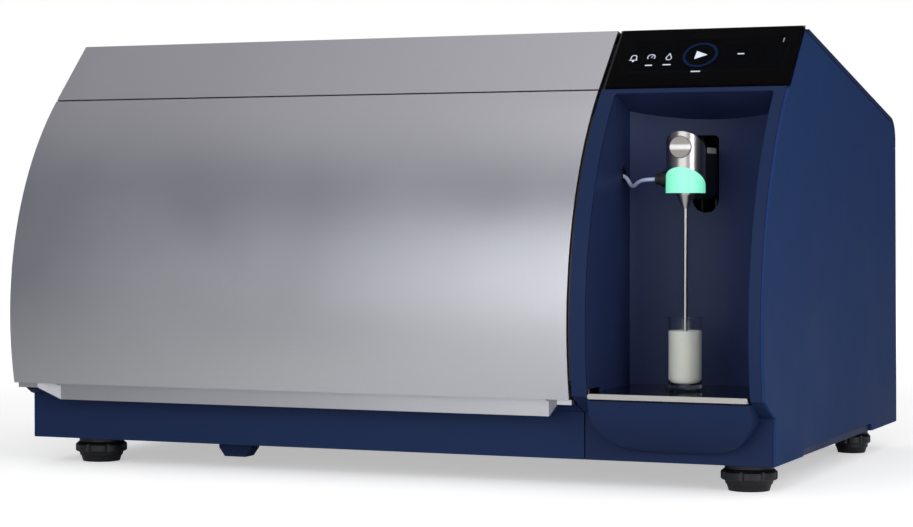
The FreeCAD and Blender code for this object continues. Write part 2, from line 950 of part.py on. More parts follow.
def foot_places():
    """Where the four feet stand, front right first."""
    return [(half_width - s.foot_front_side, p.y(s.foot_front_depth)),
            (-half_width + s.foot_left_side, p.y(s.foot_front_depth)),
            (half_width - s.foot_rear_side, p.y(s.foot_rear_depth)),
            (-half_width + s.foot_rear_side, p.y(s.foot_rear_depth))]


def feet():
    """Levelling feet: a tapered pad, a lobed ring to turn it by, a neck and a stem."""
    names = ("foot_front_right", "foot_front_left", "foot_rear_right", "foot_rear_left")
    lift = s.base_lift
    neck_top = lift - s.foot_travel_gap
    spare = s.cut_spare
    for name, (x, y) in zip(names, foot_places()):
        share = REAR_FOOT_SHARE if "rear" in name else 1
        pad_radius = s.foot_pad_radius * share
        ring_radius = s.foot_ring_radius * share
        neck_radius = s.foot_neck_radius * share
        wear_radius = pad_radius + s.foot_wear_flare
        body = new_body(name)
        turn(body, [
            (0, 0),
            (pad_radius, 0),
            (wear_radius, s.foot_wear_height),
            (wear_radius + s.foot_taper_step, s.foot_taper_low),
            (pad_radius + s.foot_taper_flare * share, s.foot_ring_low - s.fit_gap),
            (ring_radius - s.foot_ring_bevel, s.foot_ring_low),
            (ring_radius, s.foot_ring_low + s.foot_ring_bevel),
            (ring_radius, s.foot_ring_high),
            (neck_radius, s.foot_ring_high + s.foot_neck_slope),
            (neck_radius, neck_top),
            (s.foot_stem_radius, neck_top),
            (s.foot_stem_radius, lift + s.foot_stem_top),
            (0, lift + s.foot_stem_top),
        ])
        scallop = pocket(body, "XY_Plane", [Circle(ring_radius + s.lobe_radius - s.lobe_depth, 0, s.lobe_radius)],
                         s.foot_ring_low - spare, neck_top - s.foot_ring_low)
        lobes = body.newObject("PartDesign::PolarPattern", "Lobes")
        lobes.Originals = [scallop]
        lobes.Axis = (scallop.Profile[0], ["N_Axis"])
        lobes.Angle = 360
        lobes.Occurrences = LOBE_COUNT
        body.Tip = lobes
        place(body, x, y, 0)
        publish(body, name)


def foot_bushings():
    """Threaded bushings pressed into the pan."""
    rings = []
    for number, (x, y) in enumerate(foot_places()):
        body = new_body(f"bushing_{number}")
        bore = s.foot_stem_radius + s.rod_gap
        flange = s.bushing_radius + s.bushing_flange
        flange_top = s.pan_floor + s.bushing_flange_height
        turn(body, [(bore, 0), (s.bushing_radius, 0), (s.bushing_radius, s.pan_floor), (flange, s.pan_floor),
                    (flange, flange_top), (s.bushing_radius, flange_top), (s.bushing_radius, s.bushing_height),
                    (bore, s.bushing_height)])
        place(body, x, y, p.z(0))
        rings.append(body)
    publish(group("foot_bushings", rings), "foot_bushings")


def front_skid():
    """Tapered block under the front edge."""
    body = new_body("front_skid")
    centre = -s.skid_offset
    pad(body, "XZ_Plane", [[
        (centre - s.skid_tip_width / 2, p.z(0) - s.skid_height),
        (centre + s.skid_tip_width / 2, p.z(0) - s.skid_height),
        (centre + s.skid_width / 2, p.z(0) - s.skid_shoulder),
        (centre + s.skid_width / 2, p.z(0)),
        (centre - s.skid_width / 2, p.z(0)),
        (centre - s.skid_width / 2, p.z(0) - s.skid_shoulder),
    ]], p.y(s.skid_depth), s.skid_length)
    publish(body, "front_skid")


def front_skirt():
    """Moulded strip under the door, stepped and sloped behind the handle."""
    body = new_body("front_skirt")
    wall = s.panel_wall
    tuck = s.step_tuck
    front = s.step_depth + s.skirt_slope_depth
    top = s.step_height + s.step_rise
    start = -inner_half
    pad(body, "YZ_Plane", [[
        p.at(0, 0),
        p.at(wall, 0),
        p.at(wall, s.step_height + s.step_inner_rise),
        p.at(tuck - s.step_depth, top + wall),
        p.at(tuck - front, top + wall + s.skirt_slope_rise),
        p.at(-front, top + s.skirt_slope_rise),
        p.at(-s.step_depth, top),
        p.at(0, s.step_height),
    ]], start, module_left - s.module_seam - start)
    publish(body, "front_skirt")


def module_front():
    """Front moulding of the sample module: frame, base front and the hollow bib under the stage."""
    body = new_body("module_front_frame")
    wall = s.panel_wall
    chin = p.arc(s.chin_height)
    chin_in = p.arc(s.chin_height + s.chin_inner_rise, wall)
    top = s.seam_height - s.fit_gap
    length = inner_half - module_left
    pad(body, "YZ_Plane", [[
        p.at(0, 0),
        p.at(wall, 0),
        p.at(wall, s.step_height + s.step_inner_rise),
        p.at(s.step_tuck - s.step_depth, s.step_height + s.step_rise + wall),
        p.at(*chin_in, -(s.arc_radius - wall)),
        p.at(*p.arc(top, wall)),
        p.at(*p.arc(top), s.arc_radius),
        p.at(*chin),
        p.at(-s.step_depth, s.step_height + s.step_rise),
        p.at(0, s.step_height),
    ]], module_left, length)
    far = p.y(-s.front_reach)
    opening = rounded(niche_left, p.z(s.niche_sill), niche_right, p.z(s.niche_top), s.niche_corner)
    pocket(body, "XZ_Plane", [opening], far, s.front_reach * 2)
    pocket(body, "XZ_Plane", [bib_outline(wall)], far, s.front_reach * 2)
    shell = cut("module_bib", bib_solid("bib_outer", as_size(0)), bib_solid("bib_inner", wall))
    publish(fuse("module_front", [body, shell]), "module_front")


def bib_outline(inset):
    """Front outline of the bib: straight shoulders, round corners and a long sweep."""
    left = niche_left + inset
    right = niche_right - inset
    top = p.z(s.niche_sill) - inset
    foot = p.z(s.bib_foot) + inset
    corner = s.bib_corner - inset
    sweep = s.bib_sweep
    low = foot + s.bib_rise
    turn_height = low + s.bib_corner_rise - inset
    reach = s.bib_corner_reach - inset
    return [(left, top), (left, turn_height, corner), (left + reach, low, sweep),
            (right - reach, low, corner), (right, turn_height), (right, top)]


def bib_solid(label, inset):
    """The bib's bulging side view, limited by its front outline."""
    swell = new_body(label + "_swell")
    top = s.niche_sill - inset
    start = p.arc(s.niche_sill, inset)
    back = s.panel_wall
    pad(swell, "YZ_Plane", [[
        p.at(back, s.bib_foot + inset),
        p.at(back, top),
        p.at(start[0], top, s.bib_radius - inset),
        p.at(inset / 2, s.bib_foot + inset),
    ]], niche_left + inset, s.niche_width - inset * 2)
    front = new_body(label + "_front")
    depth = s.arc_radius - s.arc_depth + back
    pad(front, "XZ_Plane", [bib_outline(inset)], p.y(back) - depth, depth)
    return common(label, [swell, front])


def niche_section(inset, front):
    """Plan of the sample bay: straight cheeks and a hollow rear wall."""
    half = s.niche_width / 2
    radius = (half * half + s.niche_sagitta * s.niche_sagitta) / (s.niche_sagitta * 2)
    left = niche_left - inset
    right = niche_right + inset
    rear = p.y(s.niche_wall_depth)
    return [(left, front), (right, front), (right, rear, radius + inset), (left, rear)]


def sample_bay_liner():
    """Liner of the sample bay, with a sloped ceiling, a concave rear wall and the carriage slot."""
    wall = s.panel_wall
    slope = (s.niche_top - s.niche_ceiling_rear) / (s.niche_wall_depth - p.arc(s.niche_top)[0])
    front_depth = p.arc(s.niche_top, wall)[0]
    rear_depth = s.niche_wall_depth + s.niche_sagitta + wall * 2

    def limits(label, lift, rear, floor, front_inset):
        body = new_body(label)
        drop = slope * (rear - front_depth)
        pad(body, "YZ_Plane", [[
            p.at(s.liner_start, floor),
            p.at(rear, floor),
            p.at(rear, s.niche_top - drop + lift),
            p.at(*p.arc(s.niche_top + lift, front_inset), s.arc_radius - front_inset),
            p.at(*p.arc(s.liner_sill, front_inset)),
            p.at(s.liner_start, s.liner_sill),
        ]], niche_left - wall * 2, s.niche_width + wall * 4)
        return body

    def column(label, inset, floor, height):
        body = new_body(label)
        pad(body, "XY_Plane", [niche_section(inset, p.y(-s.front_reach))], p.z(floor), height)
        return body

    floor = s.niche_floor - wall
    outer = common("liner_outer", [column("liner_outer_plan", wall, floor, s.niche_top),
                                   limits("liner_outer_side", wall, rear_depth, floor, wall)])
    inner = common("liner_inner", [column("liner_inner_plan", as_size(0), s.niche_floor, s.niche_top),
                                   limits("liner_inner_side", as_size(0), rear_depth, s.niche_floor, as_size(-wall))])
    shell = cut("liner_shell", outer, inner)
    slot = new_body("liner_slot")
    pad(slot, "XZ_Plane", [slot_outline(pipette_x - s.slot_shift, p.z(s.slot_bottom), p.z(s.slot_top),
                                        s.slot_width / 2, s.slot_corner)],
        p.y(s.niche_wall_depth), s.niche_sagitta + wall * 2)
    hole = rod("liner_hole", niche_left - wall * 2, p.y(s.hose_hole_depth), p.z(s.hose_hole_height), "x",
               s.grommet_radius, wall * 3)
    sill = box("liner_front_trim", niche_left - wall * 2, p.y(-s.front_reach), p.z(s.niche_floor) - wall * 2,
               s.niche_width + wall * 4, s.liner_start + s.front_reach, s.liner_sill - s.niche_floor + wall * 2)
    ribs = [box(f"stage_runner_{side}", x, p.y(s.liner_start), p.z(s.niche_floor), s.runner_width,
                s.niche_wall_depth - wall - s.liner_start,
                s.stage_height - s.stage_lip - s.niche_floor - s.fit_gap)
            for side, x in (("left", niche_left), ("right", niche_right - s.runner_width))]
    opened = cut("liner_opened", shell, fuse("liner_openings", [slot, hole, sill]))
    publish(fuse("sample_bay_liner", [opened] + ribs), "sample_bay_liner")


def stage():
    """Black plate in a steel tray that pulls out over two runners in the bay."""
    gap = s.stage_gap
    half = s.niche_width / 2
    radius = (half * half + s.niche_sagitta * s.niche_sagitta) / (s.niche_sagitta * 2)
    left = niche_left + gap
    right = niche_right - gap
    rear = p.y(s.niche_wall_depth - gap)
    front = p.y(-s.stage_front)
    bottom = p.z(s.stage_height - s.stage_lip)
    tray = new_body("stage_tray")
    plan = [(left, front + s.stage_lip_wall), (right, front + s.stage_lip_wall), (right, rear, radius), (left, rear)]
    pad(tray, "XY_Plane", [plan], bottom, s.stage_lip - s.plate_thickness)
    lip = rounded(left, bottom, right, p.z(s.stage_height), s.stage_end_round)
    pad(tray, "XZ_Plane", [lip], front, s.stage_lip_wall)
    publish(tray, "stage_tray")
    plate = new_body("stage_plate")
    pad(plate, "XY_Plane", [plan], p.z(s.stage_height - s.plate_thickness), s.plate_thickness)
    publish(plate, "stage_plate")


def display():
    """Glass front on the incline, the screen behind it and the moulding that holds both."""
    thickness = s.glass_thickness
    proud = s.glass_proud

    def plate(first, last, outer, inner):
        return [p.at(*p.incline(first, inner)), p.at(*p.incline(last, inner)),
                p.at(*p.incline(last, outer)), p.at(*p.incline(first, outer))]

    glass = new_body("display_glass")
    last = s.glass_start + s.glass_length
    pad(glass, "YZ_Plane", [plate(s.glass_start, last, -proud, thickness - proud)],
        half_width - s.glass_width, s.glass_width)
    publish(glass, "display_glass")
    screen_end = last - s.screen_top
    screen_first = screen_end - s.screen_length
    screen_x = half_width - s.screen_inset - s.screen_width
    screen = new_body("display_screen")
    face = thickness - proud
    pad(screen, "YZ_Plane", [plate(screen_first, screen_end, face, face + s.screen_depth)],
        screen_x, s.screen_width)
    publish(screen, "display_screen")
    housing = new_body("display_housing")
    bottom = p.incline(s.fit_gap, face)
    bottom_in = p.incline(s.housing_depth, face + s.housing_depth)
    inner_top = p.incline(s.incline_length - s.housing_depth, face + s.housing_depth)
    edge_top = p.incline(s.incline_length - proud, face)
    end = p.top_depth + s.roof_return
    pad(housing, "YZ_Plane", [[
        p.at(*bottom_in),
        p.at(*inner_top),
        p.at(end, p.roof(end, s.panel_wall)),
        p.at(end, p.roof(end)),
        p.at(p.top_depth + proud, p.roof(p.top_depth + proud)),
        p.at(*edge_top),
        p.at(*bottom),
    ]], module_left, inner_half - module_left)
    gap = s.fit_gap
    pocket(housing, "YZ_Plane", [plate(screen_first - gap, screen_end + gap, as_size(-1), s.housing_depth * 3)],
           screen_x - gap, s.screen_width + gap * 2)
    publish(housing, "display_housing")


def upper_front_panel():
    """Fixed silver panel over the door, folded back along the roof."""
    body = new_body("upper_front_panel")
    wall = s.sheet_wall
    end = p.top_depth + s.roof_return
    start = -half_width + s.door_left_gap
    pad(body, "YZ_Plane", [[
        p.at(*p.incline(s.fit_gap, wall)),
        p.at(*p.incline(s.incline_length - wall, wall)),
        p.at(end, p.roof(end, wall)),
        p.at(end, p.roof(end)),
        p.at(p.top_depth, p.top_height),
        p.at(*p.incline(s.fit_gap)),
    ]], start, module_left - s.door_right_gap - start)
    publish(body, "upper_front_panel")


def front_door():
    """Curved door skin with turned-in edges, the left one inside the side panel."""
    body = new_body("front_door")
    start = -half_width + s.door_left_gap
    length = module_left - s.door_right_gap - start
    top = s.seam_height - s.door_seam_gap
    skin = s.door_skin

    def strip(low, high, outer, inner):
        return [p.at(*p.arc(low, inner), -(s.arc_radius - inner)), p.at(*p.arc(high, inner)),
                p.at(*p.arc(high, outer), s.arc_radius - outer), p.at(*p.arc(low, outer))]

    end = start + length
    inside = start + s.panel_wall + s.fit_gap * 2
    pad(body, "YZ_Plane", [strip(s.door_bottom, top, as_size(0), skin)], inside, end - inside)
    pad(body, "YZ_Plane", [strip(s.door_bottom, top, as_size(0), s.door_margin_skin)], start, inside - start)
    for x in (inside, end - skin):
        pad(body, "YZ_Plane", [strip(s.door_bottom, s.door_rib_top, as_size(0), s.door_rib_depth)], x, skin)
    pad(body, "YZ_Plane", [strip(s.door_bottom, s.door_bottom + skin, as_size(0), s.door_return)],
        inside, end - inside)
    publish(body, "front_door")


def handle_rail():
    """Ledge under the door's two ends, and between them a set-back grip with slanted ends."""
    body = new_body("handle_rail")
    wall = s.grip_wall
    left = -half_width + s.ledge_left_gap
    right = module_left - s.door_right_gap + s.ledge_overhang
    slant_left = left + s.grip_left
    slant_right = right - s.grip_right - s.ledge_overhang
    grip_left = slant_left + s.grip_slant_left
    grip_right = slant_right - s.grip_slant_right
    door_edge = p.arc(s.door_bottom)[0]
    front = p.y(door_edge + s.ledge_setback)
    back = p.y(door_edge + s.grip_setback)
    low = p.z(s.grip_bottom)
    ledge_low = p.z(s.door_bottom - s.ledge_height)
    high = p.z(s.door_bottom)
    fold = s.grip_fold
    spare = s.cut_spare
    pad(body, "XY_Plane", [[
        (left, front),
        (slant_left, front),
        (grip_left, back),
        (grip_right, back),
        (slant_right, front),
        (right, front),
        (right, front + wall),
        (slant_right + fold, front + wall),
        (grip_right + fold, back + wall),
        (grip_left - fold, back + wall),
        (slant_left - fold, front + wall),
        (left, front + wall),
    ]], low, high - low)
    pocket(body, "XZ_Plane", [
        [(left - spare, low - spare), (grip_left, low - spare), (grip_left, low), (slant_left, ledge_low),
         (left - spare, ledge_low)],
        [(right + spare, low - spare), (right + spare, ledge_low), (slant_right, ledge_low), (grip_right, low),
         (grip_right, low - spare)],
    ], front - spare, s.grip_setback + wall + spare * 2)
    for start, end in ((left, slant_left - fold), (slant_right + fold, right)):
        pad(body, "XY_Plane", [rectangle(start, front, end, front + s.ledge_depth)], ledge_low, high - ledge_low)
    pad(body, "XY_Plane", [rectangle(grip_left, back - s.grip_flange, grip_right, back + wall)],
        high - wall, wall)
    pad(body, "XY_Plane", [rectangle(grip_left, back, grip_right, back + wall + s.grip_lip)], low, wall)
    publish(body, "handle_rail")


class Hinge:
    """Pivot of the door, inside the fixed panel, and polar places about it."""

    def __init__(self):
        self.depth, self.height = p.incline(s.pivot_along, s.pivot_inset)
        middle = (module_left - half_width) / 2
        self.places = (middle - s.arm_spread, middle + s.arm_spread)

    def polar(self, radius, angle):
        """A point at a radius, the angle measured outward from the way down the incline."""
        down = radius * cosine(angle)
        out = radius * sine(angle)
        return (self.depth - down * p.run - out * p.climb, self.height - down * p.climb + out * p.run)


def door_hinges():
    """Gooseneck arms on the door, and the beam, cheeks and pins that carry them."""
    hinge = Hinge()
    outer_radius = s.arm_inner_radius + s.arm_band
    back = -s.arm_back_angle
    front = s.arm_front_angle
    middle = (back + front) / 2
    spoke_front = back + s.spoke_angle
    arms = []
    pins = []
    cheeks = []
    for number, x in enumerate(hinge.places):
        start = x - s.arm_thickness / 2
        band = new_body(f"arm_{number}")
        pad(band, "YZ_Plane", [[
            p.at(*hinge.polar(outer_radius, front), outer_radius),
            p.at(*hinge.polar(outer_radius, middle), outer_radius),
            p.at(*hinge.polar(outer_radius, back)),
            p.at(*hinge.polar(s.arm_inner_radius, back), -s.arm_inner_radius),
            p.at(*hinge.polar(s.arm_inner_radius, middle), -s.arm_inner_radius),
            p.at(*hinge.polar(s.arm_inner_radius, front)),
        ]], start, s.arm_thickness)
        pad(band, "YZ_Plane", [[
            p.at(*hinge.polar(s.spoke_start_radius, spoke_front)),
            p.at(*hinge.polar(s.arm_inner_radius + s.spoke_overlap, spoke_front)),
            p.at(*hinge.polar(s.arm_inner_radius + s.spoke_overlap, back)),
            p.at(*hinge.polar(s.spoke_root_radius, back - s.spoke_root_angle)),
        ]], start, s.arm_thickness)
        pad(band, "YZ_Plane", [Circle(p.y(hinge.depth), p.z(hinge.height), s.arm_boss_radius)],
            start, s.arm_thickness)
        skin = s.door_skin
        deep = skin + s.arm_foot_depth
        pad(band, "YZ_Plane", [[
            p.at(*p.arc(s.arm_foot_bottom, deep), -(s.arc_radius - deep)),
            p.at(*p.arc(s.arm_foot_top, deep)),
            p.at(*p.arc(s.arm_foot_top, skin), s.arc_radius - skin),
            p.at(*p.arc(s.arm_foot_bottom, skin)),
        ]], start - s.arm_thickness, s.arm_thickness * 3)
        pocket(band, "YZ_Plane", [Circle(p.y(hinge.depth), p.z(hinge.height), s.pin_radius + s.pin_running_gap)],
               start - s.cut_spare, s.arm_thickness + s.cut_spare * 2)
        arms.append(band)
        for side in (start - s.fit_gap - s.cheek_thickness, start + s.arm_thickness + s.fit_gap):
            cheeks.append(hinge_cheek(f"cheek_{len(cheeks)}", hinge, side))
        length = s.arm_thickness + (s.fit_gap + s.cheek_thickness) * 2
        pins.append(rod(f"pin_{number}", x - length / 2, p.y(hinge.depth), p.z(hinge.height), "x",
                        s.pin_radius, length))
    publish(group("hinge_arms", arms), "hinge_arms")
    publish(group("hinge_brackets", cheeks + pins), "hinge_brackets")
    beam = new_body("hinge_beam")
    size = s.beam_size
    wall = s.sheet_wall
    y = p.y(p.top_depth + s.beam_setback)
    z = p.z(p.top_height - s.beam_drop)
    pad(beam, "YZ_Plane", [rectangle(y, z, y + size, z + size),
                           rectangle(y + wall, z + wall, y + size - wall, z + size - wall)],
        -inner_half, module_left + inner_half - s.sheet_wall)
    publish(beam, "hinge_beam")


def hinge_cheek(label, hinge, start):
    """Bracket plate from the beam down to the pivot."""
    body = new_body(label)
    radius = s.arm_boss_radius
    y = p.y(hinge.depth)
    z = p.z(hinge.height)
    beam_y = p.y(p.top_depth + s.beam_setback)
    beam_z = p.z(p.top_height - s.beam_drop)
    pad(body, "YZ_Plane", [[
        (y, z - radius, radius),
        (y + radius, z),
        (beam_y, beam_z),
        (beam_y, beam_z + s.cheek_height),
        (y, z + radius, radius),
        (y - radius, z, radius),
    ]], start, s.cheek_thickness)
    pocket(body, "YZ_Plane", [Circle(y, z, s.pin_radius)], start - s.cut_spare,
           s.cheek_thickness + s.cut_spare * 2)
    return body


def partitions():
    """Sheet walls between the service compartment, the module and the rear space."""
    wall = s.sheet_wall
    gap = s.fit_gap
    floor = p.z(s.pan_floor)
    start_depth = s.panel_wall + gap + wall
    rear = rear_panel_depth - gap
    body = new_body("module_partition")
    edge = s.glass_thickness + s.housing_depth
    low = s.liner_sill + s.panel_wall
    inset = s.panel_wall + gap
    pad(body, "YZ_Plane", [[
        p.at(start_depth + gap, s.pan_floor),
        p.at(rear - wall - gap, s.pan_floor),
        p.at(rear - wall - gap, p.roof(rear, s.cover_lip * 2)),
        p.at(p.top_depth + s.roof_return, p.roof(p.top_depth + s.roof_return, s.housing_depth)),
        p.at(*p.incline(s.partition_bend, edge + gap)),
        p.at(*p.incline(0, edge + gap)),
        p.at(*p.arc(s.seam_height - s.housing_depth * 2, inset), s.arc_radius - inset),
        p.at(*p.arc(low, inset)),
        p.at(start_depth + gap, low),
    ]], module_left, wall)
    publish(body, "module_partition")
    bulkhead = new_body("inner_bulkhead")
    top = p.z(p.roof(bulkhead_depth, s.cover_lip))
    pad(bulkhead, "XZ_Plane", [rectangle(-inner_half + wall + gap, floor, module_left, top)],
        p.y(bulkhead_depth), wall)
    hole_x = (module_left - half_width) / 2
    pocket(bulkhead, "XZ_Plane", [Circle(hole_x, p.z(s.cable_hole_level), s.cable_hole_radius)],
           p.y(bulkhead_depth) - wall, wall * 3)
    publish(bulkhead, "inner_bulkhead")


def slanted_space(label, front_height, thickness):
    """The space above a plane that falls towards the rear across the pipette head."""
    body = new_body(label)
    near = s.pipette_depth - s.head_radius
    far = s.pipette_depth + s.head_radius
    margin = s.slant_margin
    reach = s.head_radius + margin
    drop = tangent(s.head_slant)
    pad(body, "YZ_Plane", [[
        p.at(near - margin, front_height + drop * margin),
        p.at(far + margin, front_height - drop * (s.head_radius * 2 + margin)),
        p.at(far + margin, front_height + thickness),
        p.at(near - margin, front_height + thickness),
    ]], pipette_x - reach, reach * 2)
    return body


def pipette():
    """Sampling head: steel body cut on a slant, lit ring, end cap, nozzle and intake tube."""
    core = s.head_core_radius
    ring = new_body("status_ring_blank")
    pad(ring, "XY_Plane", [Circle(pipette_x, pipette_y, s.head_radius), Circle(pipette_x, pipette_y, core)],
        p.z(s.head_bottom), s.ring_height)
    above_ring = slanted_space("above_ring", ring_top, s.head_radius * 3)
    status_ring = publish(cut("status_ring", ring, above_ring), "status_ring")
    blank = new_body("head_blank")
    pad(blank, "XY_Plane", [Circle(pipette_x, pipette_y, s.head_radius)],
        p.z(s.head_bottom), s.head_top - s.head_bottom)
    cap_z = p.z(s.head_top - s.cap_drop)
    cap_hole = rod("cap_hole", pipette_x, pipette_y - s.head_radius - s.cut_spare, cap_z, "y",
                   s.cap_radius, s.cap_depth + s.cut_spare)
    above_head = slanted_space("above_head", s.head_top, s.head_radius * 3)
    taken = fuse("head_openings", [status_ring, above_head, cap_hole])
    publish(cut("pipette_head", blank, taken), "pipette_head")
    cap = rod("cap_bar", pipette_x, pipette_y - s.head_radius - s.cap_proud, cap_z, "y",
              s.cap_radius, s.cap_depth + s.cap_proud)
    limit = rod("cap_limit", pipette_x, pipette_y, p.z(s.head_bottom), "z", s.head_radius + s.cap_proud,
                s.head_top - s.head_bottom)
    publish(common("head_cap", [cap, limit]), "head_cap")
    cone = new_body("nozzle_cone")
    turn(cone, [
        (s.tube_radius, s.cone_bottom),
        (s.tube_radius + s.cone_tip_wall, s.cone_bottom),
        (s.cone_radius, s.head_bottom - s.cone_shoulder),
        (s.cone_radius, s.head_bottom),
        (s.tube_radius, s.head_bottom),
    ])
    place(cone, pipette_x, pipette_y, s.base_lift)
    publish(cone, "nozzle_cone")
    tube = new_body("pipette_tube")
    bore = s.tube_radius - s.tube_wall
    turn(tube, [
        (bore, s.tube_bottom),
        (s.tube_radius, s.tube_bottom),
        (s.tube_radius, s.head_bottom),
        (bore, s.head_bottom),
    ])
    place(tube, pipette_x, pipette_y, s.base_lift)
    publish(tube, "pipette_tube")
    fitting_z = p.z(s.fitting_height)
    face = pipette_x - s.head_radius
    boss = rod("fitting_boss", face - s.fitting_boss, pipette_y, fitting_z, "x", s.fitting_radius,
               s.fitting_boss + s.head_radius - s.head_core_radius)
    nut_face = face - s.fitting_boss - s.nut_length
    nut = rod("fitting_nut", nut_face, pipette_y, fitting_z, "x", s.nut_radius, s.nut_length)
    joined = fuse("fitting_blank", [boss, nut])
    publish(cut("hose_fitting", joined, fuse("fitting_space", [status_ring, doc.getObject("pipette_head")])),
            "hose_fitting")
    return nut_face


def carriage():
    """Block behind the bay that carries the head through the slot on two rods."""
    block_y = p.y(rod_depth) - s.slide_block_depth / 2
    spare = s.cut_spare
    tongue = new_body("carriage_tongue")
    pad(tongue, "XZ_Plane", [rounded(pipette_x - s.carriage_width / 2, p.z(s.carriage_bottom),
                                     pipette_x + s.carriage_width / 2, p.z(s.carriage_top), s.carriage_round)],
        p.y(s.carriage_start), rod_depth - s.slide_block_depth / 2 - s.carriage_start)
    slide_low = (s.carriage_bottom + s.carriage_top - s.slide_block_height) / 2
    block = box("carriage_block", pipette_x - s.slide_block_width / 2, block_y, p.z(slide_low),
                s.slide_block_width, s.slide_block_depth, s.slide_block_height)
    bores = []
    rods = []
    holders = []
    span = s.rod_top - s.rod_bottom
    for number, side in enumerate((-s.rod_spread / 2, s.rod_spread / 2)):
        x = pipette_x + side
        bores.append(rod(f"rod_bore_{number}", x, p.y(rod_depth), p.z(slide_low) - spare, "z",
                         s.rod_radius + s.rod_gap, s.slide_block_height + spare * 2))
        rods.append(rod(f"guide_rod_{number}", x, p.y(rod_depth), p.z(s.rod_bottom), "z", s.rod_radius, span))
    head_space = rod("head_space", pipette_x, pipette_y, p.z(s.carriage_bottom) - spare, "z", s.head_radius,
                     s.carriage_top - s.carriage_bottom + spare * 2)
    joined = fuse("carriage_joined", [tongue, block])
    publish(cut("pipette_carriage", joined, fuse("carriage_space", bores + [head_space])), "pipette_carriage")
    holder_front = p.y(s.niche_wall_depth + s.niche_sagitta + s.panel_wall)
    stem_hole = rod("stem_hole", pipette_x, p.y(rod_depth), p.z(s.rod_bottom) - spare, "z",
                    s.actuator_rod_radius + s.fit_gap, s.rod_holder + spare * 2)
    for name, low in (("upper", s.rod_top - s.rod_holder), ("lower", s.rod_bottom)):
        bar = box(f"holder_{name}", pipette_x - s.slide_block_width / 2, holder_front + s.fit_gap, p.z(low),
                  s.slide_block_width, p.y(rod_depth) + s.rod_radius + s.holder_end - holder_front,
                  s.rod_holder)
        holders.append(cut(f"rod_holder_{name}", bar, fuse(f"holes_{name}", rods + [stem_hole])))
    publish(group("guide_rods", rods), "guide_rods")
    publish(group("rod_holders", holders), "rod_holders")
    top = p.z(s.rod_bottom)
    length = s.slide_block_height
    base = top - length
    bore = rod("actuator_bore", pipette_x, p.y(rod_depth), base + s.actuator_floor, "z",
               s.actuator_rod_radius + s.rod_gap, length)
    can = rod("actuator_can", pipette_x, p.y(rod_depth), base, "z", s.actuator_radius, length)
    publish(cut("lift_actuator", can, bore), "lift_actuator")
    stem_low = base + length / 2
    publish(rod("actuator_rod", pipette_x, p.y(rod_depth), stem_low, "z", s.actuator_rod_radius,
                p.z(slide_low) - stem_low), "actuator_rod")


def hose_path(points, tightest):
    """Straight runs joined by tangent arcs, with the radius of each arc."""
    edges = []
    radii = []
    at = points[0]
    for corner, following in zip(points[1:-1], points[2:]):
        before = corner - at
        after = following - corner
        half_turn = before.getAngle(after) / 2
        room = min(before.Length, after.Length) * 0.45
        radius = min(room / math.tan(half_turn), tightest)
        reach = radius * math.tan(half_turn)
        into = corner - before.normalize() * reach
        out = corner + after.normalize() * reach
        inward = (after - before).normalize()
        middle = corner + inward * (radius / math.cos(half_turn) - radius)
        edges.append(Part.LineSegment(at, into).toShape())
        edges.append(Part.Arc(into, middle, out).toShape())
        radii.append(radius)
        at = out
    edges.append(Part.LineSegment(at, points[-1]).toShape())
    return Part.Wire(edges), radii


def intake_hose(nut_face):
    """Thin hose from the wall of the bay to the head, kinked once, and its grommet."""
    wall_x = niche_left.value
    hole = Vector(wall_x, p.y(s.hose_hole_depth).value, p.z(s.hose_hole_height).value)
    nut = Vector(nut_face.value, pipette_y.value, p.z(s.fitting_height).value)
    points = [hole + Vector(*offset) for offset in HOSE_FROM_WALL]
    points += [nut + Vector(*offset) for offset in HOSE_FROM_NUT] + [nut]
    wire, radii = hose_path(points, HOSE_BEND)
    circle = Part.Circle(points[0], Vector(1, 0, 0), s.hose_radius.value)
    tube = wire.makePipeShell([Part.Wire(circle.toShape())], True, True)
    ideal = math.pi * s.hose_radius.value ** 2 * wire.Length
    if abs(tube.Volume - ideal) > ideal * 0.02:
        raise RuntimeError("the hose's volume doesn't match its length")
    print("hose length", round(wire.Length, 1), "radii", [round(radius, 1) for radius in radii])
    hose = doc.addObject("Part::Feature", "intake_hose")
    hose.Shape = tube
    hose.Placement = Placement()
    publish(hose, "intake_hose")
    grommet = new_body("hose_grommet")
    small = s.hose_radius + s.fit_gap / 2
    lip = s.grommet_radius + s.grommet_lip
    turn(grommet, [(small, -s.grommet_length), (s.grommet_radius, -s.grommet_length), (s.grommet_radius, 0),
                   (lip, 0), (lip, s.grommet_face), (s.grommet_bore, s.grommet_face),
                   (s.grommet_bore, -s.grommet_recess), (small, -s.grommet_recess)])
    place(grommet, niche_left, p.y(s.hose_hole_depth), p.z(s.hose_hole_height), "x")
    publish(grommet, "hose_grommet")


